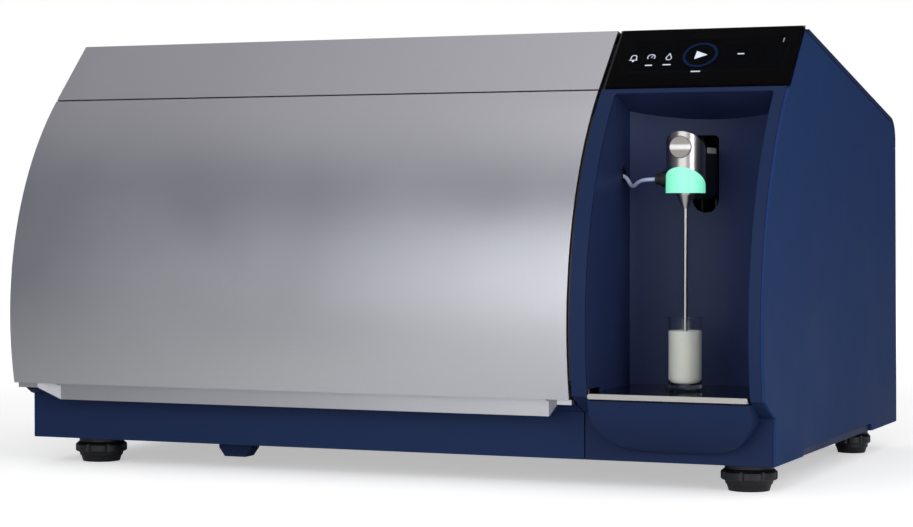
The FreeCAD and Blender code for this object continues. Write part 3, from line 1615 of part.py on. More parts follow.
def sample_vial():
    """Glass vial with a flared rim and a thick base, and the milk around the intake tube."""
    r = s.vial_radius
    inner = r - s.vial_wall
    top = s.vial_height
    bend = s.vial_round
    vial = new_body("sample_vial")
    turn(vial, [
        (0, 0),
        (r - bend, 0, bend),
        (r, bend),
        (r, top - s.vial_flare),
        (s.vial_rim_radius, top - s.vial_lip),
        (s.vial_rim_radius, top),
        (s.vial_rim_radius - s.vial_wall, top),
        (inner, top - s.vial_flare),
        (inner, s.vial_base + bend, -bend),
        (inner - bend, s.vial_base),
        (0, s.vial_base),
    ])
    place(vial, pipette_x, pipette_y, p.z(s.stage_height) + s.fit_gap)
    publish(vial, "sample_vial")
    milk = new_body("milk_sample")
    gap = s.milk_gap
    side = inner - gap
    turn(milk, [
        (0, s.vial_base + gap),
        (side - bend, s.vial_base + gap, bend),
        (side, s.vial_base + gap + bend),
        (side, s.milk_height),
        (s.milk_bore_radius, s.milk_height),
        (s.milk_bore_radius, s.vial_base * 2),
        (0, s.vial_base * 2),
    ])
    place(milk, pipette_x, pipette_y, p.z(s.stage_height) + s.fit_gap)
    publish(milk, "milk_sample")


def fan():
    """Cooling fan behind the rear sheet, and the flat ring guard outside it."""
    x = fan_x
    z = p.z(s.fan_height)
    face = p.y(rear_panel_depth)
    half = s.fan_size / 2
    depth = s.fan_depth
    back = face - depth
    floor = s.fan_floor
    spare = s.cut_spare
    housing = new_body("fan_housing")
    pad(housing, "XZ_Plane", [rounded(x - half, z - half, x + half, z + half, s.fan_corner)], back, depth)
    pocket(housing, "XZ_Plane", [Circle(x, z, s.fan_bore)], back + floor, depth)
    spokes = [Circle(x, z, s.fan_bore), Circle(x, z, s.fan_hub)]
    pocket(housing, "XZ_Plane", spokes, back - spare, floor + spare * 2)
    bar = s.fan_spoke / 2
    reach = s.fan_bore + spare
    for corners in (rectangle(x - reach, z - bar, x + reach, z + bar),
                    rectangle(x - bar, z - reach, x + bar, z + reach)):
        pad(housing, "XZ_Plane", [corners], back, floor)
    pocket(housing, "XZ_Plane", [Circle(x, z, s.fan_shaft_radius + s.plunger_gap)], back - spare, floor + spare * 2)
    publish(housing, "fan_housing")
    rotor = new_body("fan_rotor_core")
    run = depth - s.fan_end_gap * 2
    pad(rotor, "XY_Plane", [Circle(0, 0, s.fan_hub)], 0, run)
    pad(rotor, "XY_Plane", [Circle(0, 0, s.fan_shaft_radius)], -s.fan_end_gap, s.fan_end_gap + spare)
    blade = doc.addObject("Part::Feature", "fan_blades")
    blade.Shape = fan_blades(run.value)
    joined = fuse("fan_rotor_joined", [rotor, blade])
    place(joined, x, back + s.fan_end_gap, z, "y")
    publish(joined, "fan_rotor")
    guard = new_body("fan_guard")
    wire = s.guard_wire
    start = face + s.sheet_wall
    for share in GUARD_RINGS:
        radius = s.fan_bore * share
        pad(guard, "XZ_Plane", [Circle(x, z, radius), Circle(x, z, radius - wire)], start, wire)
    reach = s.fan_bore * GUARD_RINGS[-1]
    for corners in (rectangle(x - reach, z - wire / 2, x + reach, z + wire / 2),
                    rectangle(x - wire / 2, z - reach, x + wire / 2, z + reach)):
        pad(guard, "XZ_Plane", [corners], start, wire)
    publish(guard, "fan_guard")


def fan_blades(width):
    """Twisted blades between the hub and the tip, each a loft of two slanted sections."""
    half = s.fan_blade_thickness.value / 2
    hub = (s.fan_hub - s.cut_spare).value
    tip = s.fan_blade_radius.value
    blades = []
    for number in range(BLADE_COUNT):
        sections = []
        for radius, (slant, share) in ((hub, BLADE_HUB), (tip, BLADE_TIP)):
            reach = width * share / 2
            corners = [Vector(radius, -reach, -half), Vector(radius, reach, -half),
                       Vector(radius, reach, half), Vector(radius, -reach, half)]
            wire = Part.makePolygon(corners + corners[:1])
            wire.rotate(Vector(), Vector(1, 0, 0), slant)
            sections.append(wire)
        blade = Part.makeLoft(sections, True, True)
        blade.translate(Vector(0, 0, width / 2))
        blade.rotate(Vector(), Vector(0, 0, 1), 360 * number / BLADE_COUNT)
        blades.append(blade)
    return Part.makeCompound(blades)


def power_entry():
    """Inlet with its socket and the frame of the rocker switch, and the rocker on two stub axles."""
    face = p.y(rear_panel_depth) + s.sheet_wall
    low = p.z(s.inlet_level)
    high = low + s.inlet_height
    border = s.inlet_border
    left = inlet_x - s.inlet_width / 2
    right = rocker_x + s.rocker_width / 2 + border
    middle = low + s.inlet_height / 2
    body = new_body("power_inlet")
    depth = s.inlet_height
    flange = rounded(left - s.inlet_flange, low - s.inlet_flange_rise, right + s.inlet_flange,
                     high + s.inlet_flange_rise, s.inlet_flange_rise)
    pad(body, "XZ_Plane", [rectangle(left, low, right, high)], face - depth, depth)
    pad(body, "XZ_Plane", [flange], face, s.sheet_wall)
    deep = s.inlet_depth
    begin = face + s.sheet_wall - deep
    spare = s.cut_spare
    socket = rounded(left + s.inlet_wall, low + border, left + s.inlet_width - s.inlet_wall, high - border, border)
    pocket(body, "XZ_Plane", [socket], begin, deep + spare)
    wide = s.blade_half_width
    high_half = s.blade_half_height
    for offset, lift in INLET_BLADES:
        x = left + s.inlet_width / 2 + offset
        z = middle + lift
        pad(body, "XZ_Plane", [rectangle(x - wide, z - high_half, x + wide, z + high_half)],
            begin - s.blade_root, s.blade_length)
    half = s.rocker_width / 2 + s.rocker_gap
    tall = s.rocker_height / 2
    pocket(body, "XZ_Plane", [rectangle(rocker_x - half, middle - tall, rocker_x + half, middle + tall)],
           begin, deep + spare)
    axle = s.rocker_axle_radius
    reach = half + s.rocker_axle_reach
    hole = reach + s.rocker_axle_gap
    pocket(body, "YZ_Plane", [Circle(face, middle, axle + s.pin_running_gap)], rocker_x - hole, hole * 2)
    publish(body, "power_inlet")
    rocker = new_body("power_rocker")
    pad(rocker, "YZ_Plane", [[
        (face - s.rocker_back, middle - s.rocker_root),
        (face + s.rocker_high, middle - s.rocker_nose),
        (face + s.rocker_middle, middle),
        (face + s.rocker_low, middle + s.rocker_reach),
        (face - s.rocker_back, middle + s.rocker_root),
    ]], rocker_x - s.rocker_width / 2, s.rocker_width)
    pad(rocker, "YZ_Plane", [Circle(face, middle, axle)], rocker_x - reach, reach * 2)
    publish(rocker, "power_rocker")


def rear_ports():
    """Block of data sockets and the waste outlet."""
    face = p.y(rear_panel_depth) + s.sheet_wall
    x0 = -s.port_side - s.port_block_width / 2
    z0 = p.z(s.port_level)
    block = new_body("port_block")
    pad(block, "XZ_Plane", [rectangle(x0, z0, x0 + s.port_block_width, z0 + s.port_block_height)],
        face - s.fan_depth, s.fan_depth)
    low = z0 + s.port_rise
    for number in range(PORT_COUNT):
        x = x0 + s.port_margin + s.port_pitch * number
        pocket(block, "XZ_Plane", [rectangle(x, low, x + s.port_width, low + s.port_height)],
               face - s.port_depth, s.port_depth + s.cut_spare)
    publish(block, "port_block")
    spigot = new_body("waste_outlet")
    r = s.spigot_radius
    length = s.spigot_length
    nut = s.spigot_nut
    flange = s.spigot_flange
    turn(spigot, [
        (s.spigot_bore, -s.spigot_inside),
        (r, -s.spigot_inside),
        (r, -s.sheet_wall - nut),
        (r + nut, -s.sheet_wall - nut),
        (r + nut, -s.sheet_wall),
        (r, -s.sheet_wall),
        (r, 0),
        (r + nut, 0),
        (r + nut, flange),
        (r, flange),
        (r, length - s.spigot_bevel),
        (r - s.spigot_bevel, length),
        (s.spigot_bore, length),
    ])
    place(spigot, -s.spigot_side, face, p.z(s.spigot_level), "y")
    publish(spigot, "waste_outlet")


def optics():
    """Cast bench on four posts with the interferometer and its moving mirror."""
    x0 = -s.bench_side - s.bench_width / 2
    y0 = p.y(bulkhead_depth + s.bench_setback)
    z0 = p.z(s.bench_height)
    inset = s.bench_post_inset
    bench = new_body("optics_bench")
    pad(bench, "XY_Plane", [rounded(x0, y0, x0 + s.bench_width, y0 + s.bench_length, s.bench_corner)],
        z0, s.bench_thickness)
    posts = [Circle(x0 + across, y0 + back, s.bench_post_radius)
             for across in (inset, s.bench_width - inset) for back in (inset, s.bench_length - inset)]
    pad(bench, "XY_Plane", posts, p.z(s.pan_floor), s.bench_height - s.pan_floor)
    publish(bench, "optics_bench")
    top = z0 + s.bench_thickness
    block = new_body("interferometer_block")
    bx = x0 + s.block_side
    by = y0 + s.block_back
    pad(block, "XY_Plane", [rounded(bx, by, bx + s.block_width, by + s.block_length, s.block_corner)],
        top, s.block_height)
    half_x = s.channel_width / 2
    half_y = s.channel_length / 2
    cx = bx + s.block_width / 2
    cy = by + s.block_length / 2
    floor = top + s.block_height - s.channel_depth
    pocket(block, "XY_Plane", [rectangle(cx - half_x, cy - half_y, cx + half_x, cy + half_y)],
           floor, s.channel_depth + s.cut_spare)
    pad(block, "YZ_Plane", [Circle(cy, floor + s.channel_depth / 2, s.source_radius)],
        bx - s.source_length, s.source_length)
    publish(block, "interferometer_block")
    mirror = new_body("mirror_carriage")
    end_x = half_x - s.mirror_travel_gap
    side_y = half_y - s.mirror_side_gap
    base = floor + s.mirror_side_gap
    pad(mirror, "XY_Plane", [rectangle(cx - end_x, cy - side_y, cx + end_x, cy + side_y)],
        base, s.mirror_base)
    face_x = s.mirror_thickness / 2
    face_y = s.mirror_width / 2
    pad(mirror, "XY_Plane", [rectangle(cx - face_x, cy - face_y, cx + face_x, cy + face_y)],
        base, s.mirror_height)
    publish(mirror, "mirror_carriage")


def electronics():
    """Power supply on the pan and the control board on the bulkhead."""
    supply = new_body("power_supply")
    floor = p.z(s.pan_floor)
    x0 = inlet_x - s.inlet_width / 2
    y0 = p.y(rear_panel_depth) - s.supply_clearance - s.supply_length
    pad(supply, "XY_Plane", [rectangle(x0, y0, x0 + s.supply_width, y0 + s.supply_length)], floor, s.supply_height)
    top = (floor + s.supply_height).value
    soften(supply, s.supply_bevel, lambda edge: edge.BoundBox.ZMin > top - 0.1, "PartDesign::Chamfer")
    publish(supply, "power_supply")
    board = new_body("control_board")
    back = p.y(bulkhead_depth) + s.sheet_wall
    bx = -s.board_side
    bz = p.z(s.board_level)
    inset = s.board_post_inset
    front = back + s.board_post_length
    pad(board, "XZ_Plane", [rectangle(bx, bz, bx + s.board_width, bz + s.board_height)], front, s.board_thickness)
    posts = [Circle(bx + across, bz + up, s.board_post_radius)
             for across in (inset, s.board_width - inset) for up in (inset, s.board_height - inset)]
    pad(board, "XZ_Plane", posts, back, s.board_post_length)
    for across, up, wide, high, deep in BOARD_PARTS:
        pad(board, "XZ_Plane", [rectangle(bx + across, bz + up, bx + across + wide, bz + up + high)],
            front + s.board_thickness, deep)
    publish(board, "control_board")


def sample_pump():
    """Pump body with a plunger that slides through a notch between its two heads."""
    x0 = -s.pump_side - s.pump_width / 2
    y0 = p.y(s.pump_depth)
    floor = p.z(s.pan_floor)
    pump = new_body("pump_body")
    pad(pump, "XY_Plane", [rounded(x0, y0, x0 + s.pump_width, y0 + s.pump_length, s.pump_corner)],
        floor, s.pump_height)
    axis_x = -s.pump_side
    axis_y = y0 + s.pump_length / 2
    axis_z = floor + s.plunger_level
    half = s.pump_notch / 2
    pocket(pump, "XZ_Plane", [rectangle(axis_x - half, axis_z - s.pump_notch_depth, axis_x + half,
                                        floor + s.pump_height + s.cut_spare)],
           y0 - s.cut_spare, s.pump_length + s.cut_spare * 2)
    bore_length = s.pump_width - s.pump_head_wall * 2
    pocket(pump, "YZ_Plane", [Circle(axis_y, axis_z, s.plunger_radius + s.plunger_gap)],
           x0 + s.pump_head_wall, bore_length)
    publish(pump, "pump_body")
    plunger = new_body("pump_plunger")
    spare = s.plunger_travel + s.cut_spare
    pad(plunger, "YZ_Plane", [Circle(axis_y, axis_z, s.plunger_radius)],
        x0 + s.pump_head_wall + spare, bore_length - spare * 2)
    pad(plunger, "YZ_Plane", [Circle(axis_y, axis_z, s.plunger_collar_radius)],
        axis_x - s.plunger_collar / 2, s.plunger_collar)
    publish(plunger, "pump_plunger")


def waste_pump():
    """Peristaltic pump on the bulkhead: a round housing and a rotor with three rollers."""
    back = p.y(bulkhead_depth)
    x = -s.waste_side
    z = p.z(s.waste_level)
    wall = s.waste_wall
    depth = s.waste_depth
    base = s.waste_base
    housing = new_body("peristaltic_housing")
    pad(housing, "XZ_Plane", [Circle(x, z, s.waste_radius)], back - depth, depth)
    pocket(housing, "XZ_Plane", [Circle(x, z, s.waste_radius - wall)], back - depth - 1, depth + 1 - base)
    pocket(housing, "XZ_Plane", [Circle(x, z, s.waste_shaft_radius + s.plunger_gap)],
           back - base - 1, base - 1)
    publish(housing, "peristaltic_housing")
    rotor = new_body("peristaltic_rotor")
    plate = s.rotor_plate
    start = back - depth + plate
    second = start + s.rotor_plate_pitch
    for face in (start, second):
        pad(rotor, "XZ_Plane", [Circle(x, z, s.rotor_radius)], face, plate)
    pad(rotor, "XZ_Plane", [Circle(x, z, s.waste_shaft_radius)], start + 1, back - base / 2 - start - 1)
    rollers = [Circle(x + s.roller_ring * math.cos(math.radians(angle)),
                      z + s.roller_ring * math.sin(math.radians(angle)), s.roller_radius)
               for angle in (90, 210, 330)]
    pad(rotor, "XZ_Plane", rollers, start + plate / 2, s.rotor_plate_pitch)
    publish(rotor, "peristaltic_rotor")


def valves():
    """Row of solenoid valves on one block, on the bulkhead."""
    back = p.y(bulkhead_depth)
    x0 = s.valve_side
    z0 = p.z(s.valve_level)
    depth = s.valve_block_depth
    body = new_body("valve_block")
    pad(body, "XZ_Plane", [rounded(x0, z0, x0 + s.valve_block_width, z0 + s.valve_block_height,
                                   s.valve_block_corner)], back - depth, depth)
    first = pad(body, "XY_Plane", [Circle(x0 + s.valve_first, back - depth / 2, s.valve_radius)],
                z0 + s.valve_block_height - 1, s.valve_height)
    along(body, first, "H_Axis", s.valve_pitch * (VALVE_COUNT - 1), VALVE_COUNT)
    publish(body, "valve_block")


side_panels()
top_cover()
rear_panel()
base_pan()
foot_bushings()
front_skid()
feet()
front_skirt()
module_front()
sample_bay_liner()
stage()
display()
upper_front_panel()
front_door()
handle_rail()
door_hinges()
partitions()
intake_hose(pipette())
carriage()
sample_vial()
fan()
power_entry()
rear_ports()
optics()
electronics()
sample_pump()
waste_pump()
valves()

doc.recompute()
for item in doc.Objects:
    if "Invalid" in item.State or "Error" in item.State:
        raise RuntimeError(f"{item.Label} failed: {item.State}")
os.makedirs("parts", exist_ok=True)
for item in nodes:
    if item.Shape.isNull() or not item.Shape.isValid():
        raise RuntimeError(f"{item.Label} has no valid shape")
    item.Shape.exportStep(f"parts/{item.Label}.step")
print(len(nodes), "nodes")
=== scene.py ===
"""Looks of a bench-top milk analyzer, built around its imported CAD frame."""

import json
import logging
import math
from dataclasses import dataclass, field
from enum import Enum
from typing import Iterable, Sequence

import bmesh
import bpy
from mathutils import Matrix, Vector

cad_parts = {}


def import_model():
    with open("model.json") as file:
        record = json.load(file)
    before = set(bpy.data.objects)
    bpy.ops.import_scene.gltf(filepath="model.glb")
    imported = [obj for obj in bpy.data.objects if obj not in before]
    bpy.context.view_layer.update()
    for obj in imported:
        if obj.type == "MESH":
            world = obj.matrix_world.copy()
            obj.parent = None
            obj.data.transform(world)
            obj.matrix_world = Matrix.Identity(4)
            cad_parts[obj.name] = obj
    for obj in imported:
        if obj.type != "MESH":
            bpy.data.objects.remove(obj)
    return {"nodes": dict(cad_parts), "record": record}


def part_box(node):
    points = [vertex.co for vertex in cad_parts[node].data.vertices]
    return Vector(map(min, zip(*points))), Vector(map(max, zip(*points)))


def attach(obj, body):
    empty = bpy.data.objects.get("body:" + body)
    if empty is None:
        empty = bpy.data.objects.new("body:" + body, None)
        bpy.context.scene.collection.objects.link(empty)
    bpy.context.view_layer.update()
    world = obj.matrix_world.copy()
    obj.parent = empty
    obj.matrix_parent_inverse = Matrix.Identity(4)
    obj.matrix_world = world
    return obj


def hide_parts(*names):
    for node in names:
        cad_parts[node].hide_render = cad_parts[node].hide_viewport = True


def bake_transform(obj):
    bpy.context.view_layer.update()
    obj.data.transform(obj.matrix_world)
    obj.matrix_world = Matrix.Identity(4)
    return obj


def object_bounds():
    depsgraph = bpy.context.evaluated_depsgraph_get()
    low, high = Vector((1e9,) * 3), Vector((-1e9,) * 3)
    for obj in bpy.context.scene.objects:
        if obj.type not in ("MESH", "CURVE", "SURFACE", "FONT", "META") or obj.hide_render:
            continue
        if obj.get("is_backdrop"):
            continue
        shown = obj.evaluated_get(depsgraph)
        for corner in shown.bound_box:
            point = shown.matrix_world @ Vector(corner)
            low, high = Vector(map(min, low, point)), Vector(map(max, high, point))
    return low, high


LOG = logging.getLogger("milk_analyzer")
MM = 0.001

Color = tuple[float, float, float]
Point = tuple[float, float, float]
Range = tuple[float, float]
Spot = tuple[float, float]

BLACK: Color = (0.0, 0.0, 0.0)
WHITE: Color = (1.0, 1.0, 1.0)


def srgb(red: float, green: float, blue: float) -> Color:
    """Turns 8-bit display values into the linear colour that a shader takes.

    Args:
        red: Red, 0 to 255.
        green: Green, 0 to 255.
        blue: Blue, 0 to 255.

    Returns:
        The linear colour.
    """
    def linear(level: float) -> float:
        """Turns one display value into a linear one."""
        share = level / 255
        return share / 12.92 if share <= 0.04045 else ((share + 0.055) / 1.055) ** 2.4

    return linear(red), linear(green), linear(blue)


def darker(color: Color, share: float) -> Color:
    """Gives a colour at a share of its brightness."""
    return tuple(level * share for level in color)


class Graph:
    """A node tree with short calls that add, feed and join nodes."""

    def __init__(self, tree: bpy.types.NodeTree) -> None:
        """Keeps the tree.

        Args:
            tree: The node tree to build in.
        """
        self.tree = tree

    def add(self, kind: str, settings: dict | None = None, **values: object) -> bpy.types.Node:
        """Adds a node and feeds its inputs.

        Args:
            kind: Blender's name for the node type.
            settings: Attributes of the node.
            **values: Input names, with underscores for spaces, and a value or a socket for each.

        Returns:
            The node.
        """
        node = self.tree.nodes.new(kind)
        for name, value in (settings or {}).items():
            setattr(node, name, value)
        for name, value in values.items():
            self.feed(node, name.replace("_", " "), value)
        return node

    def feed(self, node: bpy.types.Node, name: str | int, value: object) -> None:
        """Joins a socket to an input, or sets the input's value.

        Args:
            node: The node that takes the value.
            name: The input's name or number.
            value: A socket, a number, a colour or a vector.
        """
        target = node.inputs[name]
        if isinstance(value, bpy.types.NodeSocket):
            self.tree.links.new(value, target)
        elif target.type == "RGBA" and len(value) == 3:
            target.default_value = (*value, 1.0)
        else:
            target.default_value = value

    def math(self, operation: str, first: object, second: object = 0.0) -> bpy.types.NodeSocket:
        """Adds a math node.

        Args:
            operation: Blender's name for the operation.
            first: First input.
            second: Second input.

        Returns:
            The result socket.
        """
        node = self.add("ShaderNodeMath", {"operation": operation})
        self.feed(node, 0, first)
        self.feed(node, 1, second)
        return node.outputs[0]

    def blend(self, share: object, low: object, high: object) -> bpy.types.NodeSocket:
        """Mixes two colours.

        Args:
            share: How much of the second colour, 0 to 1.
            low: First colour or socket.
            high: Second colour or socket.

        Returns:
            The mixed colour's socket.
        """
        node = self.add("ShaderNodeMix", {"data_type": "RGBA"})
        self.feed(node, 0, share)
        self.feed(node, 6, low)
        self.feed(node, 7, high)
        return node.outputs[2]

    def vector(self, operation: str, first: object, second: object = (0.0, 0.0, 0.0)) -> bpy.types.Node:
        """Adds a vector math node.

        Args:
            operation: Blender's name for the operation.
            first: First vector.
            second: Second vector.

        Returns:
            The node, whose outputs are named Vector and Value.
        """
        node = self.add("ShaderNodeVectorMath", {"operation": operation})
        self.feed(node, 0, first)
        self.feed(node, 1, second)
        return node

    def ramp(self, value: object, start: object, end: object, low: object = 0.0, high: object = 1.0,
             soft: bool = True) -> bpy.types.NodeSocket:
        """Maps a range of values to another.

        Args:
            value: The value.
            start: Where the range starts.
            end: Where it ends.
            low: The result at the start.
            high: The result at the end.
            soft: Whether the change eases in and out.

        Returns:
            The result socket.
        """
        kind = "SMOOTHSTEP" if soft else "LINEAR"
        node = self.add("ShaderNodeMapRange", {"interpolation_type": kind}, Value=value, From_Min=start,
                        From_Max=end, To_Min=low, To_Max=high)
        return node.outputs[0]

    def principled(self, **values: object) -> bpy.types.NodeSocket:
        """Adds the general surface shader and gives its socket."""
        return self.add("ShaderNodeBsdfPrincipled", None, **values).outputs[0]

    def grey(self, level: object) -> bpy.types.NodeSocket:
        """Gives the grey of a brightness."""
        return self.blend(level, BLACK, WHITE)

    def edge(self, radius: object) -> bpy.types.NodeSocket:
        """Gives the normal of a surface whose edges are slightly rounded."""
        return self.add("ShaderNodeBevel", {"samples": 4}, Radius=radius).outputs[0]

    def split(self, vector: object) -> bpy.types.NodeOutputs:
        """Gives the X, Y and Z outputs of a vector."""
        return self.add("ShaderNodeSeparateXYZ", None, Vector=vector).outputs

    def mix_shaders(self, share: object, first: object, second: object) -> bpy.types.NodeSocket:
        """Mixes two shaders.

        Args:
            share: How much of the second shader, 0 to 1.
            first: The first shader's socket.
            second: The second shader's socket.

        Returns:
            The mixed shader's socket.
        """
        node = self.add("ShaderNodeMixShader")
        for number, value in enumerate((share, first, second)):
            self.feed(node, number, value)
        return node.outputs[0]


def new_material(name: str) -> tuple[bpy.types.Material, Graph]:
    """Makes a material with an empty node tree.

    Args:
        name: The material's name.

    Returns:
        The material and its graph.
    """
    material = bpy.data.materials.new(name)
    material.use_nodes = True
    material.node_tree.nodes.clear()
    return material, Graph(material.node_tree)


class Kit(Enum):
    """The shader groups that the finishes share."""

    GRAIN = "moulded_grain"
    BRUSH = "brush_lines"
    CLOUD = "soft_cloud"
    RINGS = "turning_rings"
    FLAKE = "paint_flake"


def new_group(name: str, vectors: Sequence[str], values: Sequence[str], values_out: Sequence[str],
              vectors_out: Sequence[str] = ()) -> Graph:
    """Makes an empty shader group with its sockets.

    Args:
        name: The group's name.
        vectors: Names of the vector inputs.
        values: Names of the number inputs.
        values_out: Names of the number outputs.
        vectors_out: Names of the vector outputs.

    Returns:
        The graph of the group.
    """
    tree = bpy.data.node_groups.new(name, "ShaderNodeTree")
    rows = (("INPUT", "NodeSocketVector", vectors), ("INPUT", "NodeSocketFloat", values),
            ("OUTPUT", "NodeSocketFloat", values_out), ("OUTPUT", "NodeSocketVector", vectors_out))
    for way, kind, labels in rows:
        for label in labels:
            tree.interface.new_socket(label, in_out=way, socket_type=kind)
    return Graph(tree)


class ShaderKit:
    """Builds the shared shader groups and puts them into materials."""

    def __init__(self) -> None:
        """Builds every group once."""
        self.groups = {Kit.GRAIN: self._grain(), Kit.BRUSH: self._brush(), Kit.CLOUD: self._cloud(),
                       Kit.RINGS: self._rings(), Kit.FLAKE: self._flake()}

    def use(self, graph: Graph, kit: Kit, **values: object) -> bpy.types.Node:
        """Adds one of the groups to a material.

        Args:
            graph: The material's graph.
            kit: Which group.
            **values: Its inputs.

        Returns:
            The group node.
        """
        return graph.add("ShaderNodeGroup", {"node_tree": self.groups[kit]}, **values)

    @staticmethod
    def _relief(graph: Graph, given: bpy.types.Node, height: bpy.types.NodeSocket,
                strength: float) -> bpy.types.NodeTree:
        """Ends a group that puts out its mask and the normal which the mask's relief gives.

        Args:
            graph: The group's graph.
            given: The group's input node, with Depth and Round among its sockets.
            height: The mask.
            strength: How much of the relief shows.

        Returns:
            The group's tree.
        """
        bump = graph.add("ShaderNodeBump", None, Strength=strength, Distance=given.outputs["Depth"],
                         Height=height, Normal=graph.edge(given.outputs["Round"]))
        graph.add("NodeGroupOutput", None, Mask=height, Normal=bump.outputs[0])
        return graph.tree

    def _grain(self) -> bpy.types.NodeTree:
        """Fine moulded grain: a mask of its hills and the normal that they give.

        Returns:
            The tree.
        """
        graph = new_group(Kit.GRAIN.value, ("Vector",), ("Size", "Depth", "Round"), ("Mask",), ("Normal",))
        given = graph.add("NodeGroupInput")
        scale = graph.math("DIVIDE", 1.0, given.outputs["Size"])
        cells = graph.add("ShaderNodeTexVoronoi", {"feature": "SMOOTH_F1"}, Vector=given.outputs["Vector"],
                          Scale=scale, Smoothness=0.6)
        noise = graph.add("ShaderNodeTexNoise", None, Vector=given.outputs["Vector"],
                          Scale=graph.math("MULTIPLY", scale, 0.6), Detail=2.0)
        mask = graph.math("MULTIPLY", cells.outputs["Distance"], noise.outputs[0])
        return self._relief(graph, given, mask, 0.6)

    def _brush(self) -> bpy.types.NodeTree:
        """Fine brush lines along X: a mask and the normal that they give.

        Returns:
            The tree.
        """
        graph = new_group(Kit.BRUSH.value, ("Vector", "Stretch"), ("Depth", "Round"), ("Mask",), ("Normal",))
        given = graph.add("NodeGroupInput")
        scaled = graph.vector("MULTIPLY", given.outputs["Vector"], given.outputs["Stretch"])
        lines = graph.add("ShaderNodeTexNoise", None, Vector=scaled.outputs[0], Scale=1.0, Detail=4.0,
                          Roughness=0.7)
        return self._relief(graph, given, lines.outputs[0], 0.35)

    def _rings(self) -> bpy.types.NodeTree:
        """Fine turned grooves about an axis along Y through the given centre.

        Returns:
            The tree.
        """
        graph = new_group(Kit.RINGS.value, ("Vector", "Centre"), ("Pitch", "Depth", "Round"), ("Mask",),
                          ("Normal",))
        given = graph.add("NodeGroupInput")
        away = graph.vector("SUBTRACT", given.outputs["Vector"], given.outputs["Centre"])
        parts = graph.split(away.outputs[0])
        flat = graph.add("ShaderNodeCombineXYZ", None, X=parts["X"], Z=parts["Z"])
        radius = graph.vector("LENGTH", flat.outputs[0]).outputs["Value"]
        turns = graph.math("DIVIDE", radius, given.outputs["Pitch"])
        noise = graph.add("ShaderNodeTexNoise", {"noise_dimensions": "1D"}, W=turns, Scale=1.0, Detail=1.0)
        return self._relief(graph, given, noise.outputs[0], 0.7)

    def _flake(self) -> bpy.types.NodeTree:
        """Fine metal flake in paint: a mask that changes from one fleck to the next.

        Returns:
            The tree.
        """
        graph = new_group(Kit.FLAKE.value, ("Vector",), ("Size", "Low", "High"), ("Value",))
        given = graph.add("NodeGroupInput")
        cells = graph.add("ShaderNodeTexVoronoi", None, Vector=given.outputs["Vector"],
                          Scale=graph.math("DIVIDE", 1.0, given.outputs["Size"]))
        tone = graph.add("ShaderNodeSeparateColor", None, Color=cells.outputs["Color"])
        value = graph.ramp(tone.outputs[0], 0.0, 1.0, given.outputs["Low"], given.outputs["High"], soft=False)
        graph.add("NodeGroupOutput", None, Value=value)
        return graph.tree

    def _cloud(self) -> bpy.types.NodeTree:
        """Large soft clouds, between the two values given.

        Returns:
            The tree.
        """
        graph = new_group(Kit.CLOUD.value, ("Vector",), ("Size", "Low", "High"), ("Value",))
        given = graph.add("NodeGroupInput")
        noise = graph.add("ShaderNodeTexNoise", None, Vector=given.outputs["Vector"],
                          Scale=graph.math("DIVIDE", 1.0, given.outputs["Size"]), Detail=3.0)
        value = graph.ramp(noise.outputs[0], 0.3, 0.7, given.outputs["Low"], given.outputs["High"],
                           soft=False)
        graph.add("NodeGroupOutput", None, Value=value)
        return graph.tree


@dataclass(frozen=True)
class Finish:
    """A surface finish; the base class is a plain moulded plastic.

    Sizes are in metres. Wear is how far the roughness drifts over the surface, in clouds of the cloud size,
    and the dark share is how bright the darker parts of a pattern are.
    """

    color: Color
    roughness: float = 0.5
    wear: float = 0.05
    cloud_size: float = 0.12
    dark_share: float = 0.82
    grain_size: float = 0.0012
    grain_depth: float = 0.00002
    grain_tone: float = 0.5
    edge: float = 0.0006
    coat: float = 0.0
    coat_roughness: float = 0.04
    shine: float = 0.3

    def build(self, name: str, kit: ShaderKit) -> bpy.types.Material:
        """Makes the material.

        Args:
            name: The material's name.
            kit: The shared shader groups.

        Returns:
            The material.
        """
        material, graph = new_material(name)
        place = graph.add("ShaderNodeTexCoord").outputs["Object"]
        graph.add("ShaderNodeOutputMaterial", None, Surface=self.surface(graph, kit, place))
        return material

    def surface(self, graph: Graph, kit: ShaderKit, place: bpy.types.NodeSocket) -> bpy.types.NodeSocket:
        """Adds the shader.

        Args:
            graph: The material's graph.
            kit: The shared shader groups.
            place: Object coordinates.

        Returns:
            The shader's socket.
        """
        grain = kit.use(graph, Kit.GRAIN, Vector=place, Size=self.grain_size, Depth=self.grain_depth,
                        Round=self.edge)
        tone = graph.math("MULTIPLY", grain.outputs["Mask"], self.grain_tone)
        return graph.principled(Roughness=self.worn(graph, kit, place), Normal=grain.outputs["Normal"],
                                Base_Color=graph.blend(tone, self.color, self.dark()),
                                Specular_IOR_Level=self.shine, Coat_Weight=self.coat,
                                Coat_Roughness=self.coat_roughness)

    def dark(self) -> Color:
        """Gives the colour of the pattern's darker parts."""
        return darker(self.color, self.dark_share)

    def worn(self, graph: Graph, kit: ShaderKit, place: bpy.types.NodeSocket,
             both_ways: bool = True) -> bpy.types.NodeSocket:
        """Lets the roughness drift over the surface.

        Args:
            graph: The material's graph.
            kit: The shared shader groups.
            place: Object coordinates.
            both_ways: Whether it drifts below the plain roughness too.

        Returns:
            The roughness socket.
        """
        low = self.roughness - self.wear if both_ways else self.roughness
        return kit.use(graph, Kit.CLOUD, Vector=place, Size=self.cloud_size, Low=low,
                       High=self.roughness + self.wear).outputs[0]


